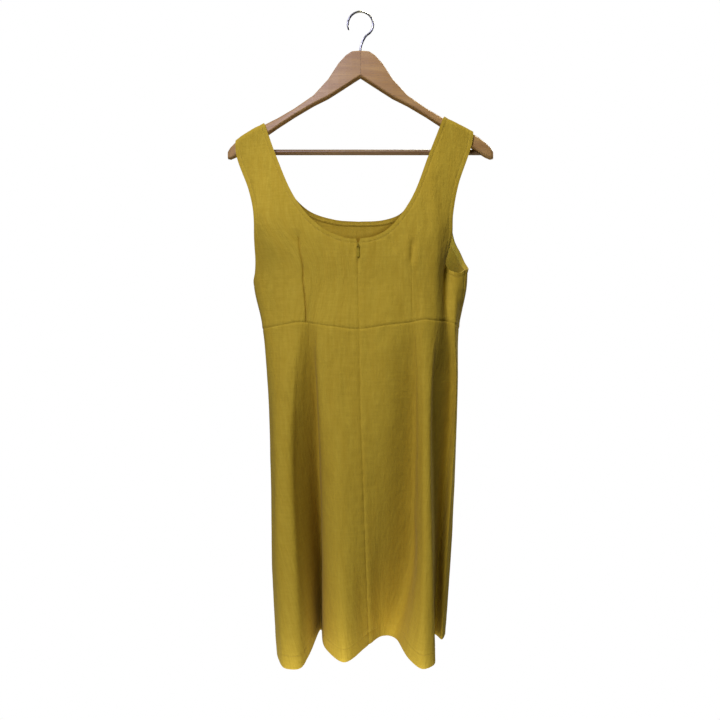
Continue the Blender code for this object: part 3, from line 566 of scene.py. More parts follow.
def seam_relief(layout):
    """Grooves, ridges and puckers at the waist, centre-back and side seams, and at the hem."""
    girth, height = layout.T
    waist = height - waist_height(girth)
    total = ridge(waist, height=-0.6, half_width=1.6) + ridge(waist - 4.5 * MM, height=0.35, half_width=3.5)
    total += pucker(girth, waist, height=0.35, reach=9, wave=13, seed=0.4)
    centre = girth - CENTRE_BACK
    beside = np.abs(centre) - 6 * MM
    sewn = smooth((NECK_Z["back"] - SLIT_LENGTH - height) / (6 * MM))
    total += sewn * (ridge(centre, height=-0.7, half_width=1.4) + ridge(beside, height=0.45, half_width=4))
    total += sewn * pucker(height, centre, height=0.55, reach=10, wave=17, seed=1.1)
    for side in (np.minimum(girth, GIRTH - girth), girth - SIDE["right"]):
        total += ridge(side, height=-0.6, half_width=1.4)
        total += pucker(height, side, height=0.3, reach=9, wave=19, seed=2.3)
    above_stitches = height - hem_height(girth) - HEM_DEPTH
    total += ridge(above_stitches, height=-0.2, half_width=1.6)
    return total + pucker(girth, above_stitches, height=0.4, reach=11, wave=12, seed=0.7)


# The cloth's general unevenness: height in mm, size across and size up and down in mm, and seed
CRUMPLES = [(0.55, 22, 75, 1.7), (0.22, 9, 24, 5.2)]


def crumple(layout):
    values = [sum(lift * noise.noise(Vector((girth / (across * MM), height / (upright * MM), seed)))
                  for lift, across, upright, seed in CRUMPLES)
              for girth, height in layout]
    return np.array(values) * MM


def edge_relief(points, edges):
    """The turned edge stands a little proud as far as its topstitching, which sinks in."""
    total = np.zeros(len(points))
    for edge in edges:
        beyond = distance_from(points, edge) - STITCH_INSET
        proud = 0.2 * MM * smooth(-beyond / (2 * MM))
        total += proud + ridge(beyond, height=-0.35, half_width=1.3)
    return total


def relief(layout):
    return crease_relief(layout) + dart_relief(layout) + seam_relief(layout) + crumple(layout)


# ---------------- cloth pieces

CHEST_GIRTH_SCALE = 0.964


def girth_scale(height):
    """True girth over mean girth at a height, for a weave of even size."""
    levels = list(LEVEL_Z[::-1])
    whole = np.arange(0, GIRTH, 4 * MM)
    scales = []
    for z in levels:
        loop = ring(whole, z)
        scales.append(np.linalg.norm(loop - np.roll(loop, 1, axis=0), axis=1).sum() / GIRTH)
    return np.interp(height, levels + [CHEST_Z], scales + [CHEST_GIRTH_SCALE])


def on_cloth(layout, shift, edges=()):
    """Points that lie shift outside the middle of the creased cloth, and its normals there.

    edges are the lines in space at which the cloth is turned in and stitched.
    """
    girth, height = layout.T
    points, normals = hang(girth, height), outward(girth, height)
    lift = relief(layout) + edge_relief(points, edges) + shift
    return points + normals * lift[:, None], normals


def wall(layout, faces, centre, thickness=CLOTH, shift=0.0, turn=None, edges=()):
    """Points, faces and grain of a thin closed wall.

    shift is how far its middle lies outside the hung surface.  It and thickness are a length, or
    one for each point.  turn is the angle, at each point, through which the wall has turned down
    and back, as at a hem's fold.
    """
    middle, normals = on_cloth(layout, shift, edges)
    facing = normals
    if turn is not None:
        facing = normals * np.cos(turn)[:, None] - np.array([0, 0, 1]) * np.sin(turn)[:, None]
    count = len(layout)
    borders = {(a, b) for face in faces for a, b in zip(face, face[1:] + face[:1])}
    rim = sorted(border for border in borders if (border[1], border[0]) not in borders)
    sides = [[b, a, a + count, b + count] for a, b in rim]
    back = [[v + count for v in reversed(face)] for face in faces]
    half = facing * np.broadcast_to(thickness / 2, count)[:, None]
    both = np.vstack([middle + half, middle - half])
    grain = np.column_stack([(layout[:, 0] - centre) * girth_scale(layout[:, 1]), layout[:, 1]])
    return both, faces + back + sides, np.vstack([grain, grain])


def linked(name, data):
    """A new object in the scene, with this mesh, light or camera."""
    made = bpy.data.objects.new(name, data)
    bpy.context.scene.collection.objects.link(made)
    return made


def on_dress(name, mesh, material):
    """A new object that rides on the dress."""
    mesh.materials.append(material)
    made = linked(name, mesh)
    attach(made, "dress")
    return made


SHARP = math.radians(55)


def piece(node, shell, material):
    """A wall's points, faces and grain as an object, which stands for its CAD node."""
    points, faces, grain = shell
    mesh = bpy.data.meshes.new("cloth_" + node)
    mesh.from_pydata(points.tolist(), [], faces)
    mesh.shade_smooth()
    mesh.set_sharp_from_angle(angle=SHARP)
    corners = np.zeros(len(mesh.loops), int)
    mesh.loops.foreach_get("vertex_index", corners)
    mesh.uv_layers.new(name="grain").data.foreach_set("uv", grain[corners].ravel())
    made = on_dress("cloth_" + node, mesh, material)
    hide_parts(node)
    return made


def grid_faces(columns, rows):
    """Quads of a grid whose points are listed column by column, girth rising and height falling."""
    return [[i * rows + j, i * rows + j + 1, (i + 1) * rows + j + 1, (i + 1) * rows + j]
            for i in range(columns - 1) for j in range(rows - 1)]


# In mm, how far from a fine place its close stops stand
FINE_STEPS = (-3, -1.9, -1.1, -0.5, 0.5, 1.1, 1.9, 3)
FINE_REACH = 3.4 * MM
LEAST_GAP = 0.25 * MM
TINY = 1e-9


def stops(start, end, pitch, fine=()):
    """Places from start to end about pitch apart, and closer round the fine ones."""
    places = list(np.linspace(start, end, max(2, round(abs(end - start) / pitch)) + 1))
    for spot in fine:
        places = [p for p in places if abs(p - spot) > FINE_REACH or p in (start, end)]
        places += [spot + step * MM for step in FINE_STEPS]
    low, high = min(start, end), max(start, end)
    kept = sorted(p for p in places if low - TINY <= p <= high + TINY)
    thinned = [kept[0]] + [b for a, b in zip(kept, kept[1:]) if b - a > LEAST_GAP]
    return np.array(thinned if start < end else thinned[::-1])


# ---------------- skirt

PITCH = 3.6 * MM
SKIRT_ROWS = 134
# Rows in mm: below the waist seam, above the hem's fold outside, and above it inside
BELOW_SEAM = np.array([0, 0.4, 1.0, 1.8, 2.8, 4.2, 6.0, 8.5])
ABOVE_HEM = np.array([22.5, 21.4, 20.6, 20, 19.4, 18.6, 17.5, 15, 12, 9, 6, 3.5, 1.6, 0.6])
INSIDE_HEM = np.array([1.2, 3.5, 7, 11, 15, 19.6])
FOLD_RADIUS = 0.55 * MM
FOLD_STEPS = 6


def skirt_column(girth):
    """Heights, shifts and turns of the cloth from the waist seam down to the hem and up inside it."""
    hem = hem_height(np.array([girth]))[0]
    near_top = waist_height(girth)[0] - SEAM_GAP - BELOW_SEAM * MM
    body = np.linspace(near_top[-1] - PITCH, hem + HEM_DEPTH + 4 * MM, SKIRT_ROWS)
    outside = np.concatenate([near_top, body, hem + ABOVE_HEM * MM])
    angles = np.linspace(0, math.pi, FOLD_STEPS + 1)
    flat, up = np.zeros(len(outside)), np.ones(len(INSIDE_HEM))
    heights = np.concatenate([outside, hem - FOLD_RADIUS * np.sin(angles), hem + INSIDE_HEM * MM])
    shifts = np.concatenate([flat, FOLD_RADIUS * (np.cos(angles) - 1), -2 * FOLD_RADIUS * up])
    turns = np.concatenate([flat, angles, math.pi * up])
    return heights, shifts, turns


# How far to either side the height of the cloth is compared, and the most painted shade that it gives
FOLD_REACHES = [15 * MM, 30 * MM, 45 * MM, 60 * MM, 80 * MM]
FOLD_SHADE = 0.5


def paint_shade(made, values):
    """Paints shade: gives each point its share, from 0 to 1, of painted shade for the light that the cloth
    round it keeps away.
    """
    made.data.attributes.new("painted_shade", "FLOAT", "POINT").data.foreach_set("value", values)


def fold_shade(layout):
    """How high the cloth on either side of each point stands over it, as the mean of two sines: the measure
    for the painted shade in the folds.
    """
    girths, heights = layout.T
    here, normals = hang(girths, heights), outward(girths, heights)
    horizons = []
    for side in (-1, 1):
        rises = [np.zeros(len(girths))]
        for reach in FOLD_REACHES:
            run = hang(girths + side * reach, heights) - here
            rises.append((run * normals).sum(axis=1) / np.linalg.norm(run, axis=1))
        horizons.append(np.max(rises, axis=0))
    return (horizons[0] + horizons[1]) / 2


def skirt(name, start, end, fine, centre, material):
    """A skirt panel from girth start to girth end, with close columns at its fine girths."""
    girths = stops(start + SEAM_GAP, end - SEAM_GAP, PITCH, fine)
    beside_seams = [start + 0.7 * MM, start + 1.5 * MM, end - 1.5 * MM, end - 0.7 * MM]
    girths = np.unique(np.concatenate([girths, beside_seams]))
    columns = [skirt_column(girth) for girth in girths]
    rows = len(columns[0][0])
    heights, shifts, turns = (np.concatenate(values) for values in zip(*columns))
    layout = np.column_stack([np.repeat(girths, rows), heights])
    faces = grid_faces(len(girths), rows)
    made = piece(name, wall(layout, faces, centre, shift=shifts, turn=turns), material)
    # Painted shade in the skirt's folds, on its outer face only
    shades = FOLD_SHADE * fold_shade(layout)
    paint_shade(made, np.concatenate([shades, np.zeros(len(shades))]))


# ---------------- bodice

def shoulder_height(x):
    return arm_centre_z(x) + STRAP_RADIUS * math.pi / 2 - SEAM_GAP


def slit(height):
    """Half the gap between the two backs: a seam's, and wider above the zip's slider."""
    opened = np.clip((np.asarray(height) - NECK_Z["back"] + SLIT_LENGTH) / SLIT_LENGTH, 0, 1)
    return SEAM_GAP + SLIT_HALF_WIDTH * opened


FOOT_REACH = 40 * MM
# How many times as long as its straight span a foot's curve is taken to be
FOOT_BOW = 1.1


def round_foot(edge, seam):
    """An armhole edge whose last stretch is led level to the side seam, in one curve."""
    kept = edge[:np.flatnonzero(np.abs(edge[:, 0] - seam) > FOOT_REACH)[-1] + 1]
    foot = np.array([seam, edge[-1, 1]])
    span = np.linalg.norm(foot - kept[-1])
    leaving = (kept[-1] - kept[-2]) / np.linalg.norm(kept[-1] - kept[-2]) * span
    arriving = np.array([math.copysign(span, seam - kept[-1, 0]), 0])
    u = np.linspace(0, 1, round(FOOT_BOW * span / PITCH) + 1)[1:, None]
    return np.vstack([kept, hermite(u, kept[-1], foot, leaving, arriving)])


# The girths of each quarter's two ends, and which of them is the side seam
QUARTERS = {
    ("back", "left"): (0.0, CENTRE_BACK, 0.0),
    ("back", "right"): (CENTRE_BACK, SIDE["right"], SIDE["right"]),
    ("front", "right"): (SIDE["right"], CENTRE_FRONT, SIDE["right"]),
    ("front", "left"): (CENTRE_FRONT, GIRTH, GIRTH),
}


def edge_line(part, side, x_top, middle, foot):
    """The line from the shoulder through the middle places to the foot, in girth and height."""
    curve = smooth_curve([(x_top, shoulder_height(x_top)), *middle, foot], PITCH)
    return laid(curve, *QUARTERS[part, side][:2])


def neck_edge(part, side):
    """A quarter's neck edge in girth and height, from the shoulder down to the middle."""
    edge = edge_line(part, side, SHOULDER[side][0], NECK[part][side][::-1], (CENTRE_X, NECK_Z[part]))
    edge[-1, 0] = CENTRE_FRONT if part == "front" else CENTRE_BACK + AWAY[side] * slit(NECK_Z[part])
    return edge


def armhole_edge(part, side):
    """A quarter's armhole edge in girth and height, from the shoulder down to the side seam."""
    low, _, on_side = QUARTERS[part, side]
    foot = (hang(on_side, UNDERARM[side])[0, 0], UNDERARM[side])
    edge = edge_line(part, side, SHOULDER[side][1], ARMHOLE[part][side], foot)
    if (part, side) != ("back", "right"):  # that one already turns as it nears the seam
        edge = round_foot(edge, on_side)
    inward = 1 if on_side == low else -1
    edge[-1, 0] = on_side + inward * SEAM_GAP
    return edge


def inner_line(edge, width, towards):
    """The edge moved along the cloth by width, to the side on which a place on the cloth lies."""
    points = hang(*edge.T)
    along, upward = directions(*edge.T)
    inward = unit(np.cross(outward(*edge.T), np.gradient(points, axis=0)))
    middle = len(edge) // 2
    if inward[middle] @ (hang(*towards)[0] - points[middle]) < 0:
        inward = -inward
    moved = edge.copy()
    for i in range(len(edge)):
        steps = np.column_stack([along[i], upward[i]])
        moved[i] += np.linalg.lstsq(steps, inward[i] * width, rcond=None)[0]
    return moved


def inside(polygon, point, margin):
    """Whether a point lies in the polygon, at least margin from its sides."""
    a, b = polygon, np.roll(polygon, -1, axis=0)
    run = b - a
    t = np.clip(((point - a) * run).sum(axis=1) / (run * run).sum(axis=1), 0, 1)
    if np.linalg.norm(a + run * t[:, None] - point, axis=1).min() < margin:
        return False
    crossed = (a[:, 1] > point[1]) != (b[:, 1] > point[1])
    reach = a[:, 0] + (point[1] - a[:, 1]) * run[:, 0] / np.where(run[:, 1] == 0, 1, run[:, 1])
    return (crossed & (point[0] < reach)).sum() % 2 == 1


# In mm, how far from a line its close rows of points stand
ROW_STEPS = (-3.0, -1.8, -0.9, 0, 0.9, 1.8, 3.0)
CLOSE_MARGIN = 0.55 * MM
ROW_PITCH = PITCH * 0.87
MERGE_DISTANCE = 1e-7


def rows_beside(lines, outline):
    """Close rows of points along the lines, inside the outline."""
    close = []
    for line in lines:
        way = np.gradient(line, axis=0)
        across = unit(np.column_stack([way[:, 1], -way[:, 0]]))
        for step in ROW_STEPS:
            close += [point for point in line + across * step * MM if inside(outline, point, CLOSE_MARGIN)]
    return close


def cell_of(girth, height):
    return int(girth // PITCH), int(height // PITCH)


def fill(outline, lines):
    """Points and triangles of a panel with this outline.  Its lines get close rows of points.

    Elsewhere the points stand in even rows, every other row half a pitch along.
    """
    points = rows_beside(lines, outline)
    taken = {cell_of(*point) for point in points}
    low, high = outline.min(axis=0), outline.max(axis=0)
    for row, height in enumerate(np.arange(low[1] + PITCH / 2, high[1], ROW_PITCH)):
        for girth in np.arange(low[0] + PITCH * (0.25 + 0.5 * (row % 2)), high[0], PITCH):
            spot = np.array([girth, height])
            if cell_of(girth, height) not in taken and inside(outline, spot, PITCH / 2):
                points.append(spot)
    layout = np.vstack([outline, points])
    corners = [Vector(p) for p in layout]
    result = delaunay_2d_cdt(corners, [], [list(range(len(outline)))], 1, MERGE_DISTANCE)
    origin = [sources[0] for sources in result[3]]
    return layout, all_left(layout, [[origin[v] for v in face] for face in result[2]])


def turns_left(layout, face):
    a, b, c = layout[face[0]], layout[face[1]], layout[face[2]]
    return (b[0] - a[0]) * (c[1] - a[1]) - (b[1] - a[1]) * (c[0] - a[0]) > 0


def all_left(layout, faces):
    return [face if turns_left(layout, face) else face[::-1] for face in faces]


def bodice(name, lines, inner, centre, edges, material):
    """A panel of the bodice from the runs of its outline, each without its last point."""
    outline = np.vstack([line[:-1] for line in lines])
    layout, faces = fill(outline, inner)
    return piece(name, wall(layout, faces, centre, edges=edges), material)


# The painted shade's edge on the front is the back's neck edge, raised by SHADE_REACH and sloped.  Light
# spreads as it comes over the neck edge: what meets the front at x came over it at x * SHADE_SHARE.
SHADE_REACH = 31 * MM
SHADE_SLOPE = 0.05
SHADE_SHARE = 0.906
SHADE_FADE = 12 * MM


def shade_inside(made):
    """Paints shade on the inner face of a front piece from a little above the back's neck edge down.

    The back stands close before it there, so hardly any light comes to it; that shade is painted into the
    colour.
    """
    girth, neck = whole_neck(EDGES, "back").T
    inner_face = range(len(made.data.vertices) // 2, len(made.data.vertices))
    values = np.zeros(len(made.data.vertices))
    for i in inner_face:
        x, _, z = made.data.vertices[i].co
        edge = np.interp(x * SHADE_SHARE, flat_x(girth), neck) + SHADE_REACH + SHADE_SLOPE * x
        values[i] = smooth((edge - z) / SHADE_FADE)
    paint_shade(made, values)


def whole_neck(lines, part):
    """A neck line of the back or front from one shoulder to the other."""
    return np.vstack([lines["neck", part, "left"], lines["neck", part, "right"][-2::-1]])


def waist_line(start, end, fine):
    girths = stops(start, end, PITCH, fine)
    return np.column_stack([girths, waist_height(girths) + SEAM_GAP])


def upright(girth, start, end):
    heights = stops(start, end, PITCH)
    return np.column_stack([np.full(len(heights), girth), heights])


def shoulder_line(start, end):
    girths = stops(start[0], end[0], PITCH)
    return np.column_stack([girths, shoulder_height(flat_x(girths))])


def in_space(*lines):
    return [hang(*line.T) for line in lines]


# A place well inside each quarter of the bodice, in girth and height
PANEL_MIDDLE_Z = -0.44
PANEL_MIDDLE = {
    ("back", "left"): (0.6 * CENTRE_BACK, PANEL_MIDDLE_Z),
    ("back", "right"): (mix(CENTRE_BACK, SIDE["right"], 0.4), PANEL_MIDDLE_Z),
    ("front", "left"): (mix(CENTRE_FRONT, GIRTH, 0.4), PANEL_MIDDLE_Z),
    ("front", "right"): (mix(SIDE["right"], CENTRE_FRONT, 0.6), PANEL_MIDDLE_Z),
}
EDGES = {(kind, part, side): edge(part, side)
         for kind, edge in (("neck", neck_edge), ("armhole", armhole_edge))
         for part in ("back", "front") for side in SIDES}
STITCHED = {key: inner_line(EDGES[key], STITCH_INSET, PANEL_MIDDLE[key[1:]]) for key in EDGES}


def back_bodice(side, material):
    neck, arm = EDGES["neck", "back", side], EDGES["armhole", "back", side]
    side_girth = arm[-1, 0]
    darts = DART_LINES[:2]
    waist = waist_line(CENTRE_BACK + AWAY[side] * SEAM_GAP, side_girth, [line[-1, 0] for line in darts])
    heights = stops(NECK_Z["back"], waist[0, 1], PITCH)
    centre = beside_zip(heights, side, slit(heights))
    outline = [waist, upright(side_girth, waist[-1, 1], arm[-1, 1]), arm[::-1],
               shoulder_line(arm[0], neck[0]), neck, centre]
    inner = [waist, outline[1], centre, STITCHED["neck", "back", side],
             STITCHED["armhole", "back", side]] + darts
    bodice(f"back_bodice_{side}", outline, inner, PANEL_MIDDLE["back", side][0],
           in_space(neck, arm), material)


def front_bodice(material):
    arm_left, arm_right = (EDGES["armhole", "front", side] for side in SIDES)
    neck = whole_neck(EDGES, "front")
    darts = DART_LINES[4:6]
    waist = waist_line(arm_right[-1, 0], arm_left[-1, 0], [line[-1, 0] for line in darts])
    outline = [waist, upright(arm_left[-1, 0], waist[-1, 1], arm_left[-1, 1]), arm_left[::-1],
               shoulder_line(arm_left[0], neck[0]), neck, shoulder_line(neck[-1], arm_right[0]),
               arm_right, upright(arm_right[-1, 0], arm_right[-1, 1], waist[0, 1])]
    stitched = [STITCHED[kind, "front", side] for kind in ("neck", "armhole") for side in SIDES]
    inner = [waist, outline[1], outline[-1]] + stitched + darts
    # Painted shade on the front's inner face, below the back's neck edge
    shade_inside(bodice("front_bodice", outline, inner, CENTRE_FRONT,
                        in_space(neck, arm_left, arm_right), material))


# ---------------- bindings, zip and stitching

# Shares of a strip's width at which its rows lie, and how it thins out towards its inner edge
BINDING_ROWS = (0, 0.06, 0.16, 0.35, 0.6, 0.74, 0.84, 0.94, 1)
TAPE_ROWS = (0, 0.1, 0.3, 0.5, 0.7, 0.9, 1)
THINNING_START = 0.75
THINNING = 0.6


def strip(node, edge, inner, material, slot="binding", shift=TRIM_SHIFT, rows=BINDING_ROWS):
    """A narrow wall inside a panel, from the panel's edge to the line inner."""
    layout = np.array([mix(a, b, t) for a, b in zip(edge, inner) for t in rows])
    faces = all_left(layout, grid_faces(len(edge), len(rows)))
    thinned = smooth((np.array(rows) - THINNING_START) / (1 - THINNING_START))
    thin = np.tile(TRIM * (1 - THINNING * thinned), len(edge))
    shell = wall(layout, faces, edge[0, 0], thin, shift + (TRIM - thin) / 2, edges=in_space(edge))
    return piece(node, shell, material)


def whole_armhole(lines, side):
    """An armhole line from the shoulder down the back and up the front."""
    back, front = lines["armhole", "back", side], lines["armhole", "front", side]
    turn = np.array([GIRTH if side == "left" else 0, 0])
    on_seam = np.array([[SIDE[side], back[-1, 1]]])
    return np.vstack([back[:-1], on_seam, front[-2::-1] - turn])


# The share of painted shade over the whole of each armhole binding, which lies in the armhole's shade
ARMHOLE_SHADE = 0.6


def bindings(material):
    inner = {key: inner_line(EDGES[key], BINDING_WIDTH, PANEL_MIDDLE[key[1:]]) for key in EDGES}
    for line in inner.values():
        line[0, 1] = shoulder_height(flat_x(line[0, 0]))[()]
    for side in SIDES:
        key = ("neck", "back", side)
        inner[key][-1, 0] = CENTRE_BACK + AWAY[side] * slit(inner[key][-1, 1])
        strip(f"neck_binding_back_{side}", EDGES[key], inner[key], material)
    borders = [whole_neck(lines, "front") for lines in (EDGES, inner)]
    # The front's neck binding gets the same painted shade on its inner face
    shade_inside(strip("neck_binding_front", *borders, material))
    for side in SIDES:
        borders = [whole_armhole(lines, side) for lines in (EDGES, inner)]
        made = strip(f"armhole_binding_{side}", *borders, material)
        # Painted shade over the whole binding
        paint_shade(made, np.full(len(made.data.vertices), ARMHOLE_SHADE))


TAPE_WIDTH = 12 * MM
COIL_PITCH = 1.25 * MM
COIL_IN = 0.3 * MM
COIL_LIFT = 0.2 * MM


def beside_zip(heights, side, away):
    """A line at these heights that lies away from the centre back, to one side."""
    return np.column_stack([CENTRE_BACK + AWAY[side] * away, heights])


def zip_tapes(material):
    heights = stops(TAPE_TOP, TAPE_BOTTOM, PITCH)
    outer = np.full(len(heights), SLIT_HALF_WIDTH + TAPE_WIDTH)
    for side in SIDES:
        near = beside_zip(heights, side, slit(heights) + COIL_IN)
        far = beside_zip(heights, side, outer)
        strip(f"zip_tape_{side}", near, far, material, "tape", TAPE_SHIFT, TAPE_ROWS)


BEAD_SIDES = 6
BEAD_RINGS = 4


def bead_shape():
    """Points and faces of a small sphere about its first axis."""
    points, faces = [(-1, 0, 0)], []
    for i in range(1, BEAD_RINGS):
        a = math.pi * i / BEAD_RINGS
        for j in range(BEAD_SIDES):
            b = 2 * math.pi * j / BEAD_SIDES
            points.append((-math.cos(a), math.sin(a) * math.cos(b), math.sin(a) * math.sin(b)))
    points.append((1, 0, 0))
    last = len(points) - 1
    for j in range(BEAD_SIDES):
        k = (j + 1) % BEAD_SIDES
        faces.append((0, 1 + k, 1 + j))
        for i in range(BEAD_RINGS - 2):
            a, b = 1 + i * BEAD_SIDES, 1 + (i + 1) * BEAD_SIDES
            faces.append((a + j, a + k, b + k, b + j))
        faces.append((last, last - BEAD_SIDES + j, last - BEAD_SIDES + k))
    return np.array(points), faces


def beads(name, places, ways, normals, sizes, material):
    """Many small oblong beads in one object: stitches, or the teeth of a zip."""
    shape, shape_faces = bead_shape()
    points, faces = [], []
    for place, way, normal in zip(places, ways, normals):
        way = way / np.linalg.norm(way)
        side = np.cross(normal, way)
        side /= np.linalg.norm(side)
        axes = np.array([way, side, np.cross(way, side)]) * np.array(sizes)[:, None]
        faces += [[v + len(points) * len(shape) for v in face] for face in shape_faces]
        points.append(place + shape @ axes)
    mesh = bpy.data.meshes.new(name)
    mesh.from_pydata(np.vstack(points).tolist(), [], faces)
    mesh.shade_smooth()
    on_dress(name, mesh, material)


# Half sizes of a bead: along its row, across it, and outward
STITCH_SIZE = (1.25 * MM, 0.22 * MM, 0.17 * MM)
TOOTH_SIZE = (0.75 * MM, 0.5 * MM, 0.6 * MM)
STITCH_PITCH = 3.0 * MM
HEM_STITCH_INSET = 1.5 * MM


def evenly(line, pitch):
    """Points pitch apart in space on a line in girth and height."""
    lengths = lengths_along(hang(*line.T))
    return at_lengths(np.arange(pitch, lengths[-1] - pitch / 2, pitch), lengths, line)


def stitching(name, rows, shifts, material):
    """Stitches along each row's line, beside its bound edges, at each of the shifts from the cloth."""
    places, ways, normals = [], [], []
    for line, edges in rows:
        layout = evenly(line, STITCH_PITCH)
        for shift in shifts:
            points, facing = on_cloth(layout, shift, edges)
            places.append(points)
            ways.append(np.gradient(points, axis=0))
            normals.append(facing)
    beads(name, np.vstack(places), np.vstack(ways), np.vstack(normals), STITCH_SIZE, material)


OUTSIDE = CLOTH / 2
INSIDE = TRIM_SHIFT - TRIM / 2


def all_stitching(material):
    rows = {key: (STITCHED[key], in_space(EDGES[key])) for key in EDGES}
    stitching("neck_stitching", [rows[key] for key in rows if key[0] == "neck"], (OUTSIDE, INSIDE), material)
    for side in SIDES:
        round_arm = [rows["armhole", part, side] for part in ("back", "front")]
        stitching(f"armhole_stitching_{side}", round_arm, (OUTSIDE, INSIDE), material)
    girths = np.arange(0, GIRTH, PITCH)
    hem = np.column_stack([girths, hem_height(girths) + HEM_DEPTH - HEM_STITCH_INSET])
    stitching("hem_stitching", [(hem, ())], (OUTSIDE,), material)


def zip_coils(material):
    heights = np.arange(COIL_TOP, TAPE_BOTTOM, -COIL_PITCH)
    ways = directions(np.full(len(heights), CENTRE_BACK), heights)[0]
    for side in SIDES:
        layout = beside_zip(heights, side, slit(heights) + COIL_IN)
        points, normals = on_cloth(layout, TAPE_SHIFT + COIL_LIFT)
        beads(f"zip_coil_{side}", points, ways, normals, TOOTH_SIZE, material)


# ---------------- materials

# The linen, its deeper streaks, and the colour of the painted shade where the cloth round it keeps the light
# away
LINEN = (0.51, 0.360, 0.022)
LINEN_SHADE = (0.445, 0.283, 0.011)
PAINTED_SHADE_COLOUR = (0.29, 0.175, 0.001)


def toned(colour, *tones):
    """A colour whose channels are multiplied by one tone, or by three, up to full."""
    return tuple(min(1, channel * tone) for channel, tone in zip(colour, tones * (3 // len(tones))))


class Look:
    """A Principled material, with short ways to add nodes to it.

    The colour and roughness that it starts with stand for it where nodes aren't read.
    """

    def __init__(self, name, **inputs):
        self.material = bpy.data.materials.new(name)
        self.material.use_nodes = True
        self.tree = self.material.node_tree
        self.shader = self.tree.nodes["Principled BSDF"]
        self.set(**inputs)

    def set(self, **inputs):
        """Gives the shader's inputs, with _ for each space in their names, values or links."""
        self.fill(self.shader, {name.replace("_", " "): value for name, value in inputs.items()})

    def fill(self, node, inputs):
        """Gives a node's inputs values or links.  A colour's alpha is added."""
        for key, value in inputs.items():
            socket = node.inputs[key]
            if isinstance(value, bpy.types.NodeSocket):
                self.tree.links.new(value, socket)
            else:
                socket.default_value = (*value, 1) if socket.type == "RGBA" else value
        return node

    def add(self, kind, inputs, output=0, **settings):
        """The output of a new node of this kind, with these inputs and settings."""
        node = self.tree.nodes.new("ShaderNode" + kind)
        for setting, value in settings.items():
            setattr(node, setting, value)
        return self.fill(node, inputs).outputs[output]

    def grain(self, across, along):
        """The cloth's own coordinates in metres, stretched across and along its grain."""
        return self.mapped(self.add("UVMap", {}, uv_map="grain"), (across, along, 1))

    def place(self, *stretch, turn=(0, 0, 0)):
        """The part's own coordinates in metres, turned and then stretched."""
        return self.mapped(self.add("TexCoord", {}, "Object"), stretch, turn)

    def mapped(self, vector, stretch, turn=(0, 0, 0)):
        return self.add("Mapping", {"Vector": vector, "Scale": stretch, "Rotation": turn})

    def noise(self, vector, detail=2.0, roughness=0.5):
        return self.add("TexNoise", {"Vector": vector, "Scale": 1.0, "Detail": detail,
                                     "Roughness": roughness}, "Fac")

    def math(self, operation, *values):
        return self.add("Math", dict(enumerate(values)), operation=operation)

    def spread(self, value, low, high, to_low=0.0, to_high=1.0):
        """A value's stretch from low to high, spread over the stretch from to_low to to_high."""
        return self.add("MapRange", {"Value": value, "From Min": low, "From Max": high,
                                     "To Min": to_low, "To Max": to_high})

    def blend(self, factor, first, second, way="MIX"):
        return self.add("Mix", {0: factor, 6: first, 7: second}, 2, data_type="RGBA", blend_type=way)

    def raise_by(self, *layers):
        """The normal that layers of bump give, each a height from 0 to 1 and its size in mm."""
        under = {}
        for height, size in layers:
            under = {"Normal": self.add("Bump", {"Height": height, "Distance": size * MM, **under})}
        return under["Normal"]


# A thread over and a thread under take 1.3 mm, and a thread strays by up to THREAD_WANDER radians
THREADS = 2 * math.pi / (1.3 * MM)
THREAD_WANDER = 2.4


def weave(look):
    """Plain weave: threads cross over and under, a little out of line."""
    wander = look.noise(look.grain(60, 60), 3.0)
    parts = look.tree.nodes.new("ShaderNodeSeparateXYZ")
    look.fill(parts, {0: look.grain(THREADS, THREADS)})
    shifted = [look.math("MULTIPLY_ADD", wander, THREAD_WANDER, parts.outputs[axis]) for axis in (0, 1)]
    across, along = (look.math("SINE", value) for value in shifted)
    return look.math("MULTIPLY_ADD", look.math("MULTIPLY", across, along), 0.5, 0.5)


def linen(name, colour):
    """Linen of this colour: woven, slubbed, streaked, crinkled, and darker by painted shade where its points
    carry a share of it.
    """
    look = Look(name, Base_Color=colour, Roughness=0.88, Specular_IOR_Level=0.3,
                Sheen_Weight=0.03, Sheen_Roughness=0.45, Sheen_Tint=(1.0, 0.92, 0.65))
    woven = weave(look)
    slub_up = look.noise(look.grain(280, 34), 3.0, 0.6)
    slub_across = look.noise(look.grain(36, 330), 3.0, 0.6)
    slubs = look.math("ADD", look.math("MULTIPLY", slub_up, 0.6), look.math("MULTIPLY", slub_across, 0.4))
    streaks = look.noise(look.grain(78, 9), 4.0, 0.6)
    clouds = look.noise(look.place(14, 14, 9), 4.0, 0.6)
    deep, light = toned(colour, 0.89, 0.87, 0.81), toned(colour, 1.08, 1.09, 1.2)
    base = look.blend(look.spread(slubs, 0.36, 0.64), deep, light)
    base = look.blend(look.spread(streaks, 0.38, 0.68, 0, 0.42), base, LINEN_SHADE)
    base = look.blend(look.spread(clouds, 0.35, 0.7, 0, 0.3), base, colour)
    # Painted shade: the colour goes towards the shade colour by each point's share of painted shade
    base = look.blend(look.add("Attribute", {}, "Fac", attribute_name="painted_shade"), base, PAINTED_SHADE_COLOUR)
    crossing = look.spread(woven, 0, 1, 0.975, 1.015)
    grey = look.add("CombineColor", {0: crossing, 1: crossing, 2: crossing})
    soft = look.noise(look.grain(52, 20), 4.0, 0.55)
    crinkle = look.noise(look.grain(190, 90), 3.0, 0.6)
    look.set(Base_Color=look.blend(1.0, base, grey, "MULTIPLY"),
             Roughness=look.spread(slubs, 0.3, 0.7, 0.94, 0.8),
             Normal=look.raise_by((soft, 1.5), (crinkle, 0.8), (slubs, 0.45), (woven, 0.05)))
    return look.material


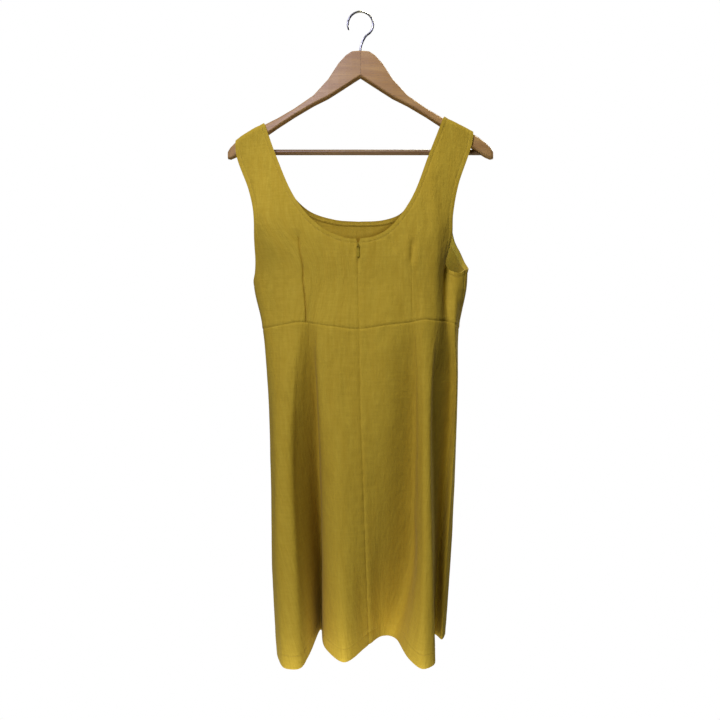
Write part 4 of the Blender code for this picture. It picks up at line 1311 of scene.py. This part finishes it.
def thread(name, colour):
    look = Look(name, Base_Color=colour, Roughness=0.6, Sheen_Weight=0.1)
    twist = look.noise(look.place(900, 900, 900), 1.0)
    look.set(Base_Color=look.blend(look.spread(twist, 0.3, 0.7), toned(colour, 0.8), colour),
             Normal=look.raise_by((twist, 0.05)))
    return look.material


def beech(name, slope, tone):
    """Pale beech, lighter by tone, its fine grain along an arm that falls by slope, and satin varnish."""
    look = Look(name, Base_Color=(0.40, 0.25, 0.14), Roughness=0.42, Coat_Weight=0.04, Coat_Roughness=0.3)
    turn = (0, slope, 0)
    rings = look.noise(look.place(9, 60, 75, turn=turn), 3.0, 0.55)
    fibres = look.noise(look.place(26, 700, 700, turn=turn), 3.0, 0.6)
    flecks = look.noise(look.place(160, 900, 900, turn=turn), 1.0)
    dark, pale = toned((0.37, 0.20, 0.056), tone), toned((0.50, 0.30, 0.090), tone)
    base = look.blend(look.spread(rings, 0.3, 0.7), dark, pale)
    base = look.blend(look.spread(fibres, 0.35, 0.65, 0, 0.35), base, (0.27, 0.155, 0.08))
    base = look.blend(look.spread(flecks, 0.66, 0.74, 0, 0.45), base, (0.20, 0.105, 0.05))
    look.set(Base_Color=base, Roughness=look.spread(fibres, 0.3, 0.7, 0.36, 0.5),
             Normal=look.raise_by((fibres, 0.06)))
    return look.material


def plated_steel():
    look = Look("plated_steel", Base_Color=(0.62, 0.62, 0.61), Roughness=0.24, Metallic=1.0)
    drawn = look.noise(look.place(300, 300, 300), 3.0)
    look.set(Roughness=look.spread(drawn, 0.3, 0.7, 0.18, 0.34), Normal=look.raise_by((drawn, 0.02)))
    return look.material


def enamel():
    """Enamel on a zip's slider and pull, worn a little where it is held."""
    look = Look("zip_enamel", Base_Color=(0.36, 0.26, 0.02), Roughness=0.5, Specular_IOR_Level=0.1)
    worn = look.noise(look.place(420, 420, 260), 4.0, 0.6)
    look.set(Base_Color=look.blend(look.spread(worn, 0.55, 0.75), (0.36, 0.26, 0.015), (0.48, 0.36, 0.03)),
             Roughness=look.spread(worn, 0.3, 0.7, 0.42, 0.6))
    return look.material


def painted_floor():
    colour = (0.86, 0.86, 0.66)
    look = Look("floor", Base_Color=colour, Roughness=0.9)
    mottle = look.noise(look.place(1.5, 1.5, 1.5), 2.0)
    look.set(Base_Color=look.blend(mottle, toned(colour, 0.97), colour))
    return look.material


# ---------------- the dress and its hanger

def build_dress():
    """All the cloth, the zip's coils and the stitches.  A skirt has close columns at its darts."""
    cloth = linen("linen", LINEN)
    inside_cloth = linen("linen_binding", toned(LINEN, 0.97))
    tape = linen("zip_tape", toned(LINEN, 0.82))
    yarn = thread("thread", toned(LINEN, 1.04))
    back_darts = [DART_LINES[i][:, 0].mean() for i in (2, 3)]
    front_darts = [DART_LINES[i][:, 0].mean() for i in (6, 7)]
    skirt("back_skirt_left", 0, CENTRE_BACK, back_darts[:1], CENTRE_BACK, cloth)
    skirt("back_skirt_right", CENTRE_BACK, SIDE["right"], back_darts[1:], CENTRE_BACK, cloth)
    skirt("front_skirt", SIDE["right"], GIRTH, front_darts, CENTRE_FRONT, cloth)
    for side in SIDES:
        back_bodice(side, cloth)
    front_bodice(cloth)
    bindings(inside_cloth)
    zip_tapes(tape)
    zip_coils(thread("zip_coil", (0.40, 0.30, 0.07)))
    all_stitching(yarn)


ARM_SLOPE = math.radians(27)


def finish_hard_pieces():
    """The hanger and the zip's slider and pull keep their own shapes and get their finishes."""
    # Painted light: the right arm's beech is toned lighter than the left's, to lift the shade its side gets
    looks = {
        "hanger_arm_left": beech("beech_left", ARM_SLOPE, 1.06),
        "hanger_arm_right": beech("beech_right", -ARM_SLOPE, 1.15),
        "hanger_bar": beech("beech_bar", 0, 0.47),
        "hanger_hook": plated_steel(),
    }
    looks["zip_slider"] = looks["zip_pull"] = enamel()
    for node, material in looks.items():
        frame["nodes"][node].material_slots[0].material = material


# The glue line's thickness, its reach before and behind the middle of the joint, and its height
GLUE_THICKNESS = 0.26 * MM
GLUE_NEAR, GLUE_FAR = 2.4 * MM, 7.0 * MM
GLUE_TOP, GLUE_BOTTOM = -65.2 * MM, -106.0 * MM


def mesh_of(work, name):
    mesh = bpy.data.meshes.new(name)
    work.to_mesh(mesh)
    work.free()
    return mesh


def glue_line():
    """The thin dark line of glue where the hanger's arms meet, before and behind the hook's root."""
    work = bmesh.new()
    middle_z, height = (GLUE_TOP + GLUE_BOTTOM) / 2, GLUE_TOP - GLUE_BOTTOM
    for side in (-1, 1):
        place = Matrix.Translation((0, side * (GLUE_NEAR + GLUE_FAR) / 2, middle_z))
        size = Matrix.Diagonal((GLUE_THICKNESS, GLUE_FAR - GLUE_NEAR, height, 1))
        bmesh.ops.create_cube(work, size=1, matrix=place @ size)
    on_dress("glue_line", mesh_of(work, "glue_line"), beech("glue", 0, 0.6))


# ---------------- stage, light and camera

FLOOR_Z = -1.9
FLOOR_RADIUS = 1.35
CAMERA = (-0.0008, -1.15, -0.5696)
LENS = 35.06


def add_floor():
    work = bmesh.new()
    bmesh.ops.create_circle(work, cap_ends=True, segments=96, radius=FLOOR_RADIUS)
    floor = linked("floor", mesh_of(work, "floor"))
    floor.data.materials.append(painted_floor())
    floor.location.z = FLOOR_Z


MIDDLE = (0, 0, -0.6)
# Name, place, what it faces, its two sizes in m, watts and colour.  The large lamp is above and to
# the left, with one behind and one above.  The small ones give the light that a pale room sends
# back to the hem, the underside of the hanger, the armhole and the right side.
LIGHTS = [
    ("key", (-1.1, -2.35, 1.55), MIDDLE, (1.0, 1.0), 80, (1.0, 0.985, 1.4)),
    ("low", (-0.05, -0.165, -1.115), (-0.05, 0.0, -1.115), (0.40, 0.03), 0.56, (1.0, 0.98, 1.2)),
    ("top", (0.28, -0.6, 1.35), (0, 0, -0.2), (0.3, 0.3), 10, (1.0, 0.95, 0.6)),
    ("bounce", (0, 0.01, -0.29), (0, 0.01, -0.1), (0.26, 0.05), 0.05, (1.0, 0.9, 0.7)),
    ("inner", (0.09, 0.02, -0.36), (0.165, 0.025, -0.41), (0.05, 0.05), 0.06, (0.8, 1.0, 1.5)),
    ("side", (0.32, 0.13, -0.62), (0.17, 0.0, -0.62), (0.05, 0.6), 0.25, (1.0, 0.98, 0.9)),
    ("behind", (0.9, 2.5, 1.5), MIDDLE, (1.4, 1.4), 90, (1.0, 0.97, 0.8)),
]


def add_lights():
    for name, place, target, sizes, watts, colour in LIGHTS:
        data = bpy.data.lights.new(name, "AREA")
        data.shape = "RECTANGLE"
        data.size, data.size_y = sizes
        data.energy = watts
        data.color = colour
        lamp = linked(name, data)
        lamp.location = place
        lamp.rotation_euler = (Vector(target) - Vector(place)).to_track_quat("-Z", "Y").to_euler()
        lamp.visible_camera = False


def add_world(seen, felt):
    """A white surround behind the object and a weaker grey light from all round."""
    world = bpy.data.worlds.new("studio")
    world.use_nodes = True
    tree = world.node_tree
    background = tree.nodes["Background"]
    background.inputs["Color"].default_value = (1, 1, 1, 1)
    path = tree.nodes.new("ShaderNodeLightPath")
    strength = tree.nodes.new("ShaderNodeMapRange")
    strength.inputs["To Min"].default_value = felt
    strength.inputs["To Max"].default_value = seen
    tree.links.new(path.outputs["Is Camera Ray"], strength.inputs["Value"])
    tree.links.new(strength.outputs["Result"], background.inputs["Strength"])
    bpy.context.scene.world = world


def add_camera():
    data = bpy.data.cameras.new("camera")
    data.lens = LENS
    camera = linked("camera", data)
    camera.location = CAMERA
    camera.rotation_euler = (math.pi / 2, 0, 0)
    bpy.context.scene.camera = camera


def set_stage():
    add_floor()
    add_world(seen=1.0, felt=0.008)
    add_lights()
    bpy.context.scene.view_settings.view_transform = "Standard"
    add_camera()


build_dress()
finish_hard_pieces()
glue_line()
set_stage()
